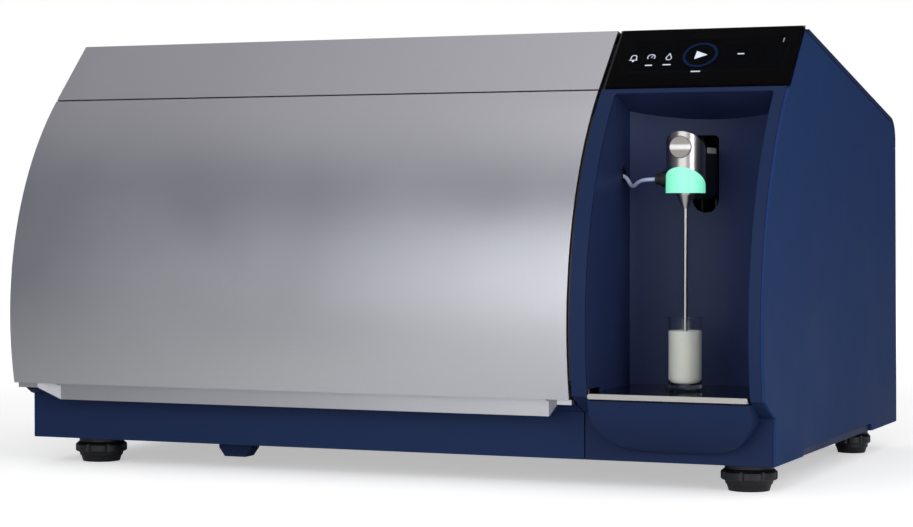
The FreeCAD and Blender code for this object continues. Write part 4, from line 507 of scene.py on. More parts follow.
@dataclass(frozen=True)
class SatinMetal(Finish):
    """Metal with a fine directional finish; stretch is the lines' frequency along each axis.

    The fleck changes the roughness by its own value, and the colour by the fleck's tone times that.
    """

    roughness: float = 0.36
    cloud_size: float = 0.2
    stretch: Point = (6.0, 900.0, 900.0)
    line_depth: float = 0.00001
    streak: float = 0.06
    fleck: float = 0.02
    fleck_size: float = 0.0009
    fleck_tone: float = 8.0

    def surface(self, graph: Graph, kit: ShaderKit, place: bpy.types.NodeSocket) -> bpy.types.NodeSocket:
        """Adds the metal shader, with the same arguments as the base class.

        Returns:
            The shader's socket.
        """
        lines = kit.use(graph, Kit.BRUSH, Vector=place, Stretch=self.stretch, Depth=self.line_depth,
                        Round=self.edge)
        flecks = kit.use(graph, Kit.FLAKE, Vector=place, Size=self.fleck_size, Low=-self.fleck,
                         High=self.fleck).outputs[0]
        dark = darker(self.color, 1 - self.streak * 2)
        share = graph.math("ADD", lines.outputs["Mask"], graph.math("MULTIPLY", flecks, self.fleck_tone))
        return graph.principled(Metallic=1.0, Normal=lines.outputs["Normal"],
                                Roughness=graph.math("ADD", self.worn(graph, kit, place), flecks),
                                Base_Color=graph.blend(share, self.color, dark))


@dataclass(frozen=True)
class TurnedMetal(Finish):
    """Metal faced on a lathe, with fine grooves about a centre, and a painted highlight: a lighter band of
    colour across the centre. Metres.
    """

    roughness: float = 0.2
    cloud_size: float = 0.02
    dark_share: float = 0.84
    centre: Point = (0.0, 0.0, 0.0)
    pitch: float = 0.0004
    groove: float = 0.00003
    # painted highlight: the band's outer and inner distance from the centre's height, and its colour
    painted_highlight_band: Range = (0.0036, 0.0010)
    painted_highlight_color: Color = (0.62, 0.61, 0.59)

    def surface(self, graph: Graph, kit: ShaderKit, place: bpy.types.NodeSocket) -> bpy.types.NodeSocket:
        """Adds the turned shader, with the same arguments as the base class.

        Returns:
            The shader's socket.
        """
        rings = kit.use(graph, Kit.RINGS, Vector=place, Centre=self.centre, Pitch=self.pitch,
                        Depth=self.groove, Round=self.edge)
        away = graph.math("ABSOLUTE", graph.math("SUBTRACT", graph.split(place)["Z"], self.centre[2]))
        # painted highlight: a lighter strip of colour across the disc's centre, set by height
        painted_highlight_band = graph.ramp(away, self.painted_highlight_band[0], self.painted_highlight_band[1])
        face = graph.blend(rings.outputs["Mask"], self.color, self.dark())
        return graph.principled(Metallic=1.0, Normal=rings.outputs["Normal"],
                                Roughness=self.worn(graph, kit, place),
                                Base_Color=graph.blend(painted_highlight_band, face, self.painted_highlight_color))


@dataclass(frozen=True)
class SheetSteel(Finish):
    """Zinc-coated sheet with a faint crystal pattern."""

    roughness: float = 0.42
    cloud_size: float = 0.1
    dark_share: float = 0.8
    crystal_size: float = 0.007
    metallic: float = 0.9

    def surface(self, graph: Graph, kit: ShaderKit, place: bpy.types.NodeSocket) -> bpy.types.NodeSocket:
        """Adds the sheet's shader, with the same arguments as the base class.

        Returns:
            The shader's socket.
        """
        crystals = kit.use(graph, Kit.FLAKE, Vector=place, Size=self.crystal_size, Low=0.0, High=1.0)
        color = graph.blend(crystals.outputs[0], self.color, self.dark())
        return graph.principled(Metallic=self.metallic, Normal=graph.edge(self.edge), Base_Color=color,
                                Roughness=self.worn(graph, kit, place))


@dataclass(frozen=True)
class CoverGlass(Finish):
    """Tinted cover glass that lets light pass straight on and reflects by angle."""

    roughness: float = 0.02
    cloud_size: float = 0.05
    index: float = 1.5

    def surface(self, graph: Graph, kit: ShaderKit, place: bpy.types.NodeSocket) -> bpy.types.NodeSocket:
        """Adds the glass shader, with the same arguments as the base class.

        Returns:
            The shader's socket.
        """
        edge = graph.edge(self.edge)
        through = graph.add("ShaderNodeBsdfTransparent", None, Color=self.color)
        shine = graph.add("ShaderNodeBsdfGlossy", None, Color=WHITE, Normal=edge,
                          Roughness=self.worn(graph, kit, place, both_ways=False))
        share = graph.add("ShaderNodeFresnel", None, IOR=self.index, Normal=edge)
        return graph.mix_shaders(share.outputs[0], through.outputs[0], shine.outputs[0])


@dataclass(frozen=True)
class ClearGlass(Finish):
    """Clear glass that bends light, and lets the lamps' light pass for its shadow."""

    roughness: float = 0.01
    cloud_size: float = 0.03
    index: float = 1.45

    def surface(self, graph: Graph, kit: ShaderKit, place: bpy.types.NodeSocket) -> bpy.types.NodeSocket:
        """Adds the glass shader, with the same arguments as the base class.

        Returns:
            The shader's socket.
        """
        glass = graph.principled(Base_Color=self.color, IOR=self.index, Transmission_Weight=1.0,
                                 Roughness=self.worn(graph, kit, place, both_ways=False))
        through = graph.add("ShaderNodeBsdfTransparent", None, Color=self.color)
        shadow = graph.add("ShaderNodeLightPath").outputs["Is Shadow Ray"]
        return graph.mix_shaders(shadow, glass, through.outputs[0])


@dataclass(frozen=True)
class Lit(Finish):
    """A surface lit from inside, brighter where the soft clouds are."""

    cloud_size: float = 0.02
    dark_share: float = 0.8
    cloud_low: float = 0.85
    glow: float = 1.0
    glow_color: Color = WHITE

    def surface(self, graph: Graph, kit: ShaderKit, place: bpy.types.NodeSocket) -> bpy.types.NodeSocket:
        """Adds the glowing shader, with the same arguments as the base class.

        Returns:
            The shader's socket.
        """
        cloud = kit.use(graph, Kit.CLOUD, Vector=place, Size=self.cloud_size, Low=self.cloud_low, High=1.0)
        dim = darker(self.glow_color, self.dark_share)
        glow = graph.blend(cloud.outputs[0], dim, self.glow_color)
        return graph.principled(Base_Color=self.color, Roughness=self.roughness, Emission_Color=glow,
                                Specular_IOR_Level=self.shine, Emission_Strength=self.glow)


@dataclass(frozen=True)
class Milk(Finish):
    """Milk: a white liquid with light passing a little way in."""

    roughness: float = 0.12
    cloud_size: float = 0.015
    pale_share: float = 1.04
    depth: float = 0.003
    depth_share: float = 0.3

    def surface(self, graph: Graph, kit: ShaderKit, place: bpy.types.NodeSocket) -> bpy.types.NodeSocket:
        """Adds the milk's shader, with the same arguments as the base class.

        Returns:
            The shader's socket.
        """
        cloud = kit.use(graph, Kit.CLOUD, Vector=place, Size=self.cloud_size, Low=0.0, High=1.0)
        pale = tuple(min(1.0, level * self.pale_share) for level in self.color)
        return graph.principled(Base_Color=graph.blend(cloud.outputs[0], self.color, pale),
                                Roughness=self.roughness, Subsurface_Weight=self.depth_share,
                                Subsurface_Scale=self.depth)


@dataclass(frozen=True)
class Board(Finish):
    """Solder mask with copper tracks under it."""

    track: Color = (0.02, 0.16, 0.06)
    track_scale: float = 90.0
    track_gap: float = 0.03

    def surface(self, graph: Graph, kit: ShaderKit, place: bpy.types.NodeSocket) -> bpy.types.NodeSocket:
        """Adds the board's shader, with the same arguments as the base class.

        Returns:
            The shader's socket.
        """
        parts = graph.split(place)
        flat = graph.add("ShaderNodeCombineXYZ", None, X=parts["X"], Y=parts["Z"])
        cells = graph.add("ShaderNodeTexBrick", None, Vector=flat.outputs[0], Scale=self.track_scale,
                          Color1=self.color, Color2=self.track, Mortar=self.color, Mortar_Size=self.track_gap)
        return graph.principled(Base_Color=cells.outputs[0], Roughness=self.roughness)


FINISHES: dict[str, Finish] = {
    "navy_plastic": Finish(srgb(28, 46, 85), roughness=0.5, grain_depth=0.00004, shine=0.12),
    "frame_plastic": Finish(srgb(26, 42, 78), roughness=0.48, grain_depth=0.00003, shine=0.12),
    "liner_plastic": Finish(srgb(38, 50, 88), roughness=0.42, shine=0.2),
    "side_plastic": Finish(srgb(34, 56, 101), grain_depth=0.00004, shine=0.03),
    "navy_paint": Finish(srgb(28, 45, 86), roughness=0.45, grain_size=0.0008, shine=0.12),
    "silver_panel": SatinMetal(srgb(214, 215, 220), roughness=0.37, streak=0.02, fleck=0.025),
    "brushed_metal": SatinMetal(srgb(190, 188, 185), roughness=0.27, stretch=(700.0, 700.0, 60.0),
                                line_depth=0.000004, streak=0.03, fleck=0.006),
    "machined_aluminium": SatinMetal(srgb(190, 192, 196), roughness=0.33, stretch=(60.0, 500.0, 500.0)),
    "black_gloss": Finish(srgb(12, 12, 14), roughness=0.09, wear=0.02, grain_depth=0.0, shine=0.5),
    "black_plastic": Finish(srgb(22, 22, 24), roughness=0.42),
    "foot_rubber": Finish(srgb(24, 25, 29), roughness=0.36, wear=0.08, shine=0.5),
    "screen_glass": CoverGlass(srgb(160, 161, 166), roughness=0.04, wear=0.03, index=1.08),
    "screen_panel": Lit(srgb(7, 8, 12), roughness=0.4, glow=0.006, glow_color=srgb(120, 150, 235)),
    "ring_light": Lit(srgb(140, 190, 172), roughness=0.3, glow=0.72, glow_color=srgb(108, 238, 194)),
    "vial_glass": ClearGlass(srgb(248, 251, 250), roughness=0.01, wear=0.01, index=1.45),
    "milk": Milk(srgb(236, 236, 229)),
    "hose_tube": Finish(srgb(190, 205, 240), roughness=0.2, wear=0.03, grain_depth=0.0, coat=0.3),
    "galvanised_sheet": SheetSteel(srgb(168, 171, 175)),
    "circuit_board": Board(srgb(18, 92, 48), roughness=0.3),
    "white_plastic": Finish(srgb(222, 222, 219), roughness=0.4),
    "brass_fitting": SatinMetal(srgb(198, 168, 104), roughness=0.3, stretch=(500.0, 500.0, 60.0)),
}

# Nodes that show another finish than their slot's.
SHOWN_IN: dict[str, str] = {
    "side_panel_right": "side_plastic",
    "side_panel_left": "side_plastic",
    "base_pan": "navy_paint",
    "guide_rods": "black_plastic",
    "rod_holders": "black_plastic",
    "lift_actuator": "black_plastic",
    "actuator_rod": "black_plastic",
}


class Wardrobe:
    """Makes each finish once and dresses the nodes and pieces with it."""

    def __init__(self, record: dict) -> None:
        """Reads which slot each CAD node has.

        Args:
            record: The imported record.
        """
        self.kit = ShaderKit()
        self.slots = {part["node"]: part["material_slot"] for part in record["subparts"]}
        self.made: dict[str, bpy.types.Material] = {}

    def material(self, slot: str) -> bpy.types.Material:
        """Gives the material of a slot.

        Args:
            slot: The slot's name in the record.

        Returns:
            The material.
        """
        if slot not in self.made:
            self.made[slot] = FINISHES[slot].build(slot, self.kit)
        return self.made[slot]

    def dress_nodes(self, nodes: dict[str, bpy.types.Object]) -> None:
        """Gives every CAD node its material.

        Args:
            nodes: The frame's nodes.
        """
        for name, node in nodes.items():
            self.put_on(node, self.material(SHOWN_IN.get(name, self.slots[name])))
        LOG.info("dressed %d nodes", len(nodes))

    @staticmethod
    def put_on(piece: bpy.types.Object, material: bpy.types.Material) -> None:
        """Makes a material the only one of a piece."""
        piece.data.materials.clear()
        piece.data.materials.append(material)

    def dress(self, piece: bpy.types.Object, slot: str, body: str,
              material: bpy.types.Material | None = None) -> bpy.types.Object:
        """Gives a new piece its material and its CAD body.

        Args:
            piece: The piece.
            slot: The slot's name in the record.
            body: The CAD body that it moves with.
            material: A material of its own in place of the slot's.

        Returns:
            The piece.
        """
        self.put_on(piece, material or self.material(slot))
        LOG.info("%s: %d faces", piece.name, len(piece.data.polygons))
        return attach(piece, body)


def new_piece(name: str, points: Iterable[Sequence[float]],
              faces: Iterable[Sequence[int]]) -> bpy.types.Object:
    """Makes a mesh object at the origin.

    Args:
        name: The piece's name.
        points: Corners in metres.
        faces: Corner numbers of each face, turning left seen from outside.

    Returns:
        The object.
    """
    mesh = bpy.data.meshes.new(name)
    mesh.from_pydata([tuple(point) for point in points], [], [tuple(face) for face in faces])
    mesh.validate()
    shape = bmesh.new()
    shape.from_mesh(mesh)
    bmesh.ops.recalc_face_normals(shape, faces=shape.faces)
    shape.to_mesh(mesh)
    shape.free()
    mesh.update()
    piece = bpy.data.objects.new(name, mesh)
    bpy.context.scene.collection.objects.link(piece)
    return piece


@dataclass(frozen=True)
class Plane:
    """A flat place in the frame with its own across, up and out directions."""

    origin: Vector
    across: Vector
    up: Vector

    @property
    def out(self) -> Vector:
        """The plane's outward normal."""
        return self.across.cross(self.up).normalized()

    def at(self, u: float, v: float, w: float = 0.0) -> Vector:
        """Gives a point from millimetres across, up and out."""
        return self.origin + (self.across * u + self.up * v + self.out * w) * MM


class PlateSet:
    """Thin plates on a plane, gathered into one mesh."""

    def __init__(self, plane: Plane, base: float, thickness: float) -> None:
        """Starts an empty set.

        Args:
            plane: Where the plates lie.
            base: Height of their backs above the plane, millimetres.
            thickness: Their thickness, millimetres.
        """
        self.plane = plane
        self.base = base
        self.top = base + thickness
        self.points: list[Vector] = []
        self.faces: list[tuple[int, ...]] = []

    def polygon(self, outline: Sequence[Spot]) -> None:
        """Adds a plate of any convex outline.

        Args:
            outline: Corners across and up, turning left.
        """
        count = len(outline)
        start = len(self.points)
        for level in (self.base, self.top):
            self.points += [self.plane.at(u, v, level) for u, v in outline]
        self.faces.append(tuple(start + count + index for index in range(count)))
        self.faces.append(tuple(start + index for index in reversed(range(count))))
        for index in range(count):
            after = (index + 1) % count
            self.faces.append((start + index, start + after, start + count + after, start + count + index))

    def bar(self, u: float, v: float, width: float, height: float) -> None:
        """Adds an upright rectangle about a centre."""
        half, tall = width / 2, height / 2
        self.polygon([(u - half, v - tall), (u + half, v - tall), (u + half, v + tall), (u - half, v + tall)])

    def disc(self, u: float, v: float, radius: float, steps: int = 20) -> None:
        """Adds a round plate about a centre."""
        turns = [math.tau * step / steps for step in range(steps)]
        self.polygon([(u + radius * math.cos(turn), v + radius * math.sin(turn)) for turn in turns])

    def arc(self, u: float, v: float, outer: float, inner: float, first: float, last: float,
            steps: int) -> None:
        """Adds part of a ring.

        Args:
            u: Its centre, across.
            v: Its centre, up.
            outer: Outer radius.
            inner: Inner radius.
            first: Where it starts, in degrees from the across direction.
            last: Where it ends, in degrees.
            steps: How many flat plates it has.
        """
        def ray(radius: float, step: int) -> Spot:
            """Gives a point of the ring."""
            angle = math.radians(first + (last - first) * step / steps)
            return u + radius * math.cos(angle), v + radius * math.sin(angle)

        for step in range(steps):
            self.polygon([ray(inner, step), ray(outer, step), ray(outer, step + 1), ray(inner, step + 1)])

    def piece(self, name: str) -> bpy.types.Object:
        """Turns the plates into an object."""
        return new_piece(name, self.points, self.faces)


class CopyTree:
    """Geometry Nodes that put copies of a small form on the points of a mesh.

    MOST_DENSE is the largest number of sprinkled copies on a square metre, before the least distance thins
    them out.
    """

    MOST_DENSE = 40000.0

    def __init__(self) -> None:
        """Builds the two trees: copies at given points, and copies sprinkled over a surface."""
        self.placed = self._placed()
        self.sprinkled = self._sprinkled()

    @staticmethod
    def _start(name: str, extra: Sequence[tuple[str, str]]) -> Graph:
        """Makes an empty tree with the sockets that both trees have.

        Args:
            name: The tree's name.
            extra: Names and socket types of its own inputs.

        Returns:
            The graph of the tree.
        """
        tree = bpy.data.node_groups.new(name, "GeometryNodeTree")
        inputs = [("Places", "NodeSocketGeometry"), ("Form", "NodeSocketObject"),
                  ("Finish", "NodeSocketMaterial"), *extra]
        for label, kind in inputs:
            tree.interface.new_socket(label, in_out="INPUT", socket_type=kind)
        tree.interface.new_socket("Pieces", in_out="OUTPUT", socket_type="NodeSocketGeometry")
        return Graph(tree)

    @staticmethod
    def _finish(graph: Graph, given: bpy.types.Node, copies: bpy.types.Node) -> bpy.types.NodeTree:
        """Ends a tree in real meshes with their material.

        Args:
            graph: The graph of the tree.
            given: The tree's input node.
            copies: The node that makes the copies.

        Returns:
            The tree.
        """
        form = graph.add("GeometryNodeObjectInfo", None, Object=given.outputs["Form"])
        graph.feed(copies, "Instance", form.outputs["Geometry"])
        real = graph.add("GeometryNodeRealizeInstances", None, Geometry=copies.outputs["Instances"])
        dressed = graph.add("GeometryNodeSetMaterial", None, Geometry=real.outputs["Geometry"],
                            Material=given.outputs["Finish"])
        graph.add("NodeGroupOutput", None, Pieces=dressed.outputs["Geometry"])
        return graph.tree

    def _placed(self) -> bpy.types.NodeTree:
        """Copies at the points of a mesh, turned by its attribute named turn.

        Returns:
            The tree.
        """
        graph = self._start("placed_copies", [("Size", "NodeSocketFloat")])
        given = graph.add("NodeGroupInput")
        turn = graph.add("GeometryNodeInputNamedAttribute", {"data_type": "FLOAT_VECTOR"}, Name="turn")
        copies = graph.add("GeometryNodeInstanceOnPoints", None, Points=given.outputs["Places"],
                           Rotation=turn.outputs["Attribute"], Scale=given.outputs["Size"])
        return self._finish(graph, given, copies)

    def _sprinkled(self) -> bpy.types.NodeTree:
        """Copies of random size on random places of a surface, from a fixed seed.

        Returns:
            The tree.
        """
        numbers = [(label, "NodeSocketFloat") for label in ("Apart", "Smallest", "Largest")]
        graph = self._start("sprinkled_drops", [("Seed", "NodeSocketInt"), *numbers])
        given = graph.add("NodeGroupInput")
        spots = graph.add("GeometryNodeDistributePointsOnFaces", {"distribute_method": "POISSON"},
                          Mesh=given.outputs["Places"], Distance_Min=given.outputs["Apart"],
                          Density_Max=self.MOST_DENSE, Seed=given.outputs["Seed"])
        size = graph.add("FunctionNodeRandomValue", {"data_type": "FLOAT"}, Seed=given.outputs["Seed"])
        graph.feed(size, 2, given.outputs["Smallest"])
        graph.feed(size, 3, given.outputs["Largest"])
        copies = graph.add("GeometryNodeInstanceOnPoints", None, Points=spots.outputs["Points"],
                           Scale=size.outputs[1])
        return self._finish(graph, given, copies)

    def run(self, tree: bpy.types.NodeTree, piece: bpy.types.Object, form: bpy.types.Object,
            finish: bpy.types.Material, **values: object) -> bpy.types.Object:
        """Runs a tree on a piece and keeps the result as a plain mesh.

        Args:
            tree: Which of the two trees.
            piece: The mesh that gives the places.
            form: The form to copy, which is deleted afterwards.
            finish: The copies' material.
            **values: The tree's own inputs.

        Returns:
            The piece with its new mesh.
        """
        modifier = piece.modifiers.new("copies", "NODES")
        modifier.node_group = tree
        given = {"Form": form, "Finish": finish, **values}
        for item in tree.interface.items_tree:
            if item.item_type == "SOCKET" and item.in_out == "INPUT" and item.name in given:
                modifier[item.identifier] = given[item.name]
        old = piece.data
        graph = bpy.context.evaluated_depsgraph_get()
        mesh = bpy.data.meshes.new_from_object(piece.evaluated_get(graph))
        piece.modifiers.clear()
        piece.data = mesh
        bpy.data.meshes.remove(old)
        bpy.data.objects.remove(form)
        return piece


@dataclass(frozen=True)
class Form:
    """Small parts, made once about the origin with their seat at height 0. Lengths in millimetres."""

    sides: int = 18

    def turned(self, name: str, profile: Sequence[Spot], socket: int = 0) -> bpy.types.Object:
        """Turns a profile about Z.

        Args:
            name: The form's name.
            profile: Radius and height of each ring, from the middle of the top to the seat.
            socket: How many of the first rings are six-sided, as a key's socket is.

        Returns:
            The form.
        """
        points: list[Point] = []
        for number, (radius, height) in enumerate(profile):
            for step in range(self.sides):
                angle = math.tau * step / self.sides
                reach = radius
                if number < socket:
                    reach = radius / math.cos((angle + math.pi / 6) % (math.pi / 3) - math.pi / 6)
                points.append((reach * math.cos(angle) * MM, reach * math.sin(angle) * MM, height * MM))
        faces: list[tuple[int, ...]] = [tuple(range(self.sides))]
        for number in range(len(profile) - 1):
            base = number * self.sides
            for step in range(self.sides):
                after = (step + 1) % self.sides
                faces.append((base + step, base + self.sides + step, base + self.sides + after, base + after))
        faces.append(tuple(reversed(range((len(profile) - 1) * self.sides, len(profile) * self.sides))))
        return new_piece(name, points, faces)

    def screw(self) -> bpy.types.Object:
        """A button-head screw with a key socket, 6 mm across."""
        return self.turned("screw_form", [(0.9, 0.9), (0.95, 1.75), (1.4, 1.8), (2.2, 1.55), (2.8, 0.9),
                                          (3.0, 0.2), (3.0, -0.1)], socket=2)

    def capacitor(self) -> bpy.types.Object:
        """An upright can with a rolled edge, 8 mm across."""
        return self.turned("capacitor_form", [(0.5, 11.2), (3.2, 11.2), (3.9, 11.0), (4.0, 10.4), (4.0, 2.6),
                                              (3.7, 2.2), (4.0, 1.8), (4.0, -0.1)])

    def drop(self) -> bpy.types.Object:
        """A flat drop of water, 2 mm across."""
        return self.turned("drop_form", [(0.15, 0.55), (0.5, 0.5), (0.8, 0.36), (0.96, 0.16), (1.0, 0.0)])

    def boxes(self, name: str, rows: Sequence[tuple[float, ...]]) -> bpy.types.Object:
        """Joins small boxes into one form.

        Args:
            name: The form's name.
            rows: Low and high corner of each box.

        Returns:
            The form.
        """
        points: list[Point] = []
        faces: list[tuple[int, ...]] = []
        for x0, y0, z0, x1, y1, z1 in rows:
            base = len(points)
            points += [(x * MM, y * MM, z * MM) for z in (z0, z1) for y in (y0, y1) for x in (x0, x1)]
            for face in ((0, 2, 3, 1), (4, 5, 7, 6), (0, 1, 5, 4), (2, 6, 7, 3), (0, 4, 6, 2), (1, 3, 7, 5)):
                faces.append(tuple(base + corner for corner in face))
        return new_piece(name, points, faces)

    def chip(self) -> bpy.types.Object:
        """A flat circuit package with six legs on each side.

        Returns:
            The form.
        """
        rows = [(-6.0, -4.0, 0.4, 6.0, 4.0, 2.2), (-5.7, -3.7, 2.2, 5.7, 3.7, 2.4)]
        for x in (-5.0, -3.0, -1.0, 1.0, 3.0, 5.0):
            rows += [(x - 0.35, -5.4, -0.1, x + 0.35, -4.0, 1.0), (x - 0.35, 4.0, -0.1, x + 0.35, 5.4, 1.0)]
        return self.boxes("chip_form", rows)

    def connector(self) -> bpy.types.Object:
        """An open pin header, 24 mm long.

        Returns:
            The form.
        """
        rows = [(-12.0, -3.5, -0.1, 12.0, -2.7, 7.0), (-12.0, 2.7, -0.1, 12.0, 3.5, 7.0),
                (-12.0, -2.7, -0.1, -11.2, 2.7, 7.0), (11.2, -2.7, -0.1, 12.0, 2.7, 7.0),
                (-11.2, -2.7, -0.1, 11.2, 2.7, 0.6)]
        rows += [(-9.4 + pin * 2.54, -0.3, 0.6, -8.8 + pin * 2.54, 0.3, 5.2) for pin in range(8)]
        return self.boxes("connector_form", rows)

    def rib(self) -> bpy.types.Object:
        """A low vent louvre, 46 mm long, with sloping ends.

        Returns:
            The form.
        """
        points = [(-23, -1.6, -0.1), (23, -1.6, -0.1), (23, 1.6, -0.1), (-23, 1.6, -0.1),
                  (-20.5, -0.7, 1.5), (20.5, -0.7, 1.5), (20.5, 0.9, 1.5), (-20.5, 0.9, 1.5)]
        faces = [(3, 2, 1, 0), (4, 5, 6, 7), (0, 1, 5, 4), (1, 2, 6, 5), (2, 3, 7, 6), (3, 0, 4, 7)]
        return new_piece("rib_form", [(x * MM, y * MM, z * MM) for x, y, z in points], faces)


@dataclass
class SmallParts:
    """Rows of small parts on the CAD nodes, seated where a straight line meets the node."""

    frame_nodes: dict[str, bpy.types.Object]
    trees: CopyTree
    forms: Form = field(default_factory=Form)

    def seat(self, node: str, start: Point, ahead: Point) -> tuple[Vector, Vector]:
        """Finds the place and the outward direction where a line first meets a node.

        Args:
            node: The CAD node.
            start: Where the line starts, millimetres.
            ahead: Its direction.

        Returns:
            The place in metres and the surface's normal.
        """
        ray = Vector(start) * MM, Vector(ahead).normalized()
        hit, place, normal, _ = self.frame_nodes[node].ray_cast(*ray)
        if not hit:
            raise ValueError(f"no seat on {node} from {start}")
        return place, normal

    def row(self, name: str, form: bpy.types.Object, seats: Iterable[tuple[Vector, Vector]], slot: str,
            body: str, wardrobe: Wardrobe, size: float = 1.0) -> bpy.types.Object:
        """Puts a copy of a form on each seat.

        Args:
            name: The piece's name.
            form: The form.
            seats: Place and outward direction of each copy.
            slot: The material slot.
            body: The CAD body.
            wardrobe: The finishes.
            size: Scale of the copies.

        Returns:
            The piece.
        """
        seats = list(seats)
        piece = new_piece(name, [place for place, _ in seats], [])
        turns = piece.data.attributes.new("turn", "FLOAT_VECTOR", "POINT")
        for number, (_, normal) in enumerate(seats):
            turns.data[number].vector = normal.to_track_quat("Z", "Y").to_euler()
        self.trees.run(self.trees.placed, piece, form, wardrobe.material(slot), Size=size)
        return wardrobe.dress(piece, slot, body)


@dataclass
class Fasteners:
    """Screws of the housing and of the working parts: node, direction, scale and places."""

    body: str = "instrument"
    slot: str = "machined_aluminium"
    rows: tuple[tuple[str, str, Point, float, tuple[Point, ...]], ...] = (
        ("rear_panel_screws", "rear_panel", (0, -1, 0), 1.0,
         tuple((x, 400, z) for x in (-400, -200, 0, 185) for z in (42, 345))),
        ("mains_panel_screws", "mains_panel", (0, -1, 0), 1.0,
         tuple((x, 400, z) for x in (217, 400) for z in (42, 345))),
        ("fan_screws", "rear_panel", (0, -1, 0), 0.9,
         tuple((120 + x, 400, 208 + z) for x in (-41.3, 41.3) for z in (-41.3, 41.3))),
        ("top_cover_screws", "top_cover", (0, -1, 0), 1.0,
         tuple((x, 400, 366) for x in (-380, -127, 127, 380))),
        ("inlet_screws", "power_inlet", (0, -1, 0), 0.55, ((232, 400, 100), (302.4, 400, 100))),
        ("port_screws", "port_block", (0, -1, 0), 0.5, ((-101.5, 400, 103), (-18.5, 400, 103))),
        ("base_screws", "base_pan", (0, 0, 1), 1.0,
         tuple((x, y, -50) for x in (-300, -60, 60, 300) for y in (-190, 30, 250))),
        ("bench_screws", "optics_bench", (0, 0, -1), 1.5,
         tuple((x, y, 300) for x in (-241, 61) for y in (-12, 190))),
        ("interferometer_screws", "interferometer_block", (0, 0, -1), 0.8,
         tuple((x, y, 300) for x in (-210, -178, -60) for y in (31, 119))),
        ("pump_screws", "pump_body", (0, 1, 0), 1.0,
         tuple((x, -400, z) for x in (-84, 4) for z in (38, 120))),
        ("peristaltic_screws", "peristaltic_housing", (0, 1, 0), 0.7,
         ((-250, -400, 201), (-250, -400, 275), (-287, -400, 238), (-213, -400, 238))),
        ("beam_screws", "hinge_beam", (0, 1, 0), 1.0,
         tuple((x, -400, 446) for x in (-400, -230, -60, 60, 210))),
        ("supply_screws", "power_supply", (0, 0, -1), 0.7,
         tuple((x, y, 300) for x in (240, 340) for y in (73, 223))),
    )

    def build(self, parts: SmallParts, wardrobe: Wardrobe) -> None:
        """Sets every row of screws.

        Args:
            parts: The maker of small parts.
            wardrobe: The finishes.
        """
        for name, node, ahead, size, places in self.rows:
            seats = [parts.seat(node, place, ahead) for place in places]
            parts.row(name, parts.forms.screw(), seats, self.slot, self.body, wardrobe, size=size)


@dataclass
class Electronics:
    """Components on the control board and the vents of the power supply. Lengths in millimetres."""

    body: str = "instrument"
    chips: tuple[Spot, ...] = ((-300, 325), (-262, 325), (-224, 300), (-186, 300), (-145, 325))
    cans: tuple[Spot, ...] = ((-318, 232), (-306, 232), (-294, 232), (-132, 232), (-120, 232))
    headers: tuple[Spot, ...] = ((-262, 216), (-226, 216), (-190, 216))
    vent_rows: int = 12
    vent_pitch: float = 9.0
    vent_start: Spot = (290.0, 98.0)
    behind_board: float = 100.0
    above_supply: float = 300.0

    def build(self, parts: SmallParts, wardrobe: Wardrobe) -> None:
        """Fits out the board and the supply.

        Args:
            parts: The maker of small parts.
            wardrobe: The finishes.
        """
        kinds = (("board_chips", parts.forms.chip, self.chips, "black_plastic"),
                 ("board_capacitors", parts.forms.capacitor, self.cans, "machined_aluminium"),
                 ("board_headers", parts.forms.connector, self.headers, "white_plastic"))
        for name, make, places, slot in kinds:
            seats = [parts.seat("control_board", (x, self.behind_board, z), (0, -1, 0)) for x, z in places]
            parts.row(name, make(), seats, slot, self.body, wardrobe)
        x, y = self.vent_start
        starts = [(x, y + row * self.vent_pitch, self.above_supply) for row in range(self.vent_rows)]
        seats = [parts.seat("power_supply", start, (0, 0, -1)) for start in starts]
        parts.row("supply_louvres", parts.forms.rib(), seats, "galvanised_sheet", self.body, wardrobe)


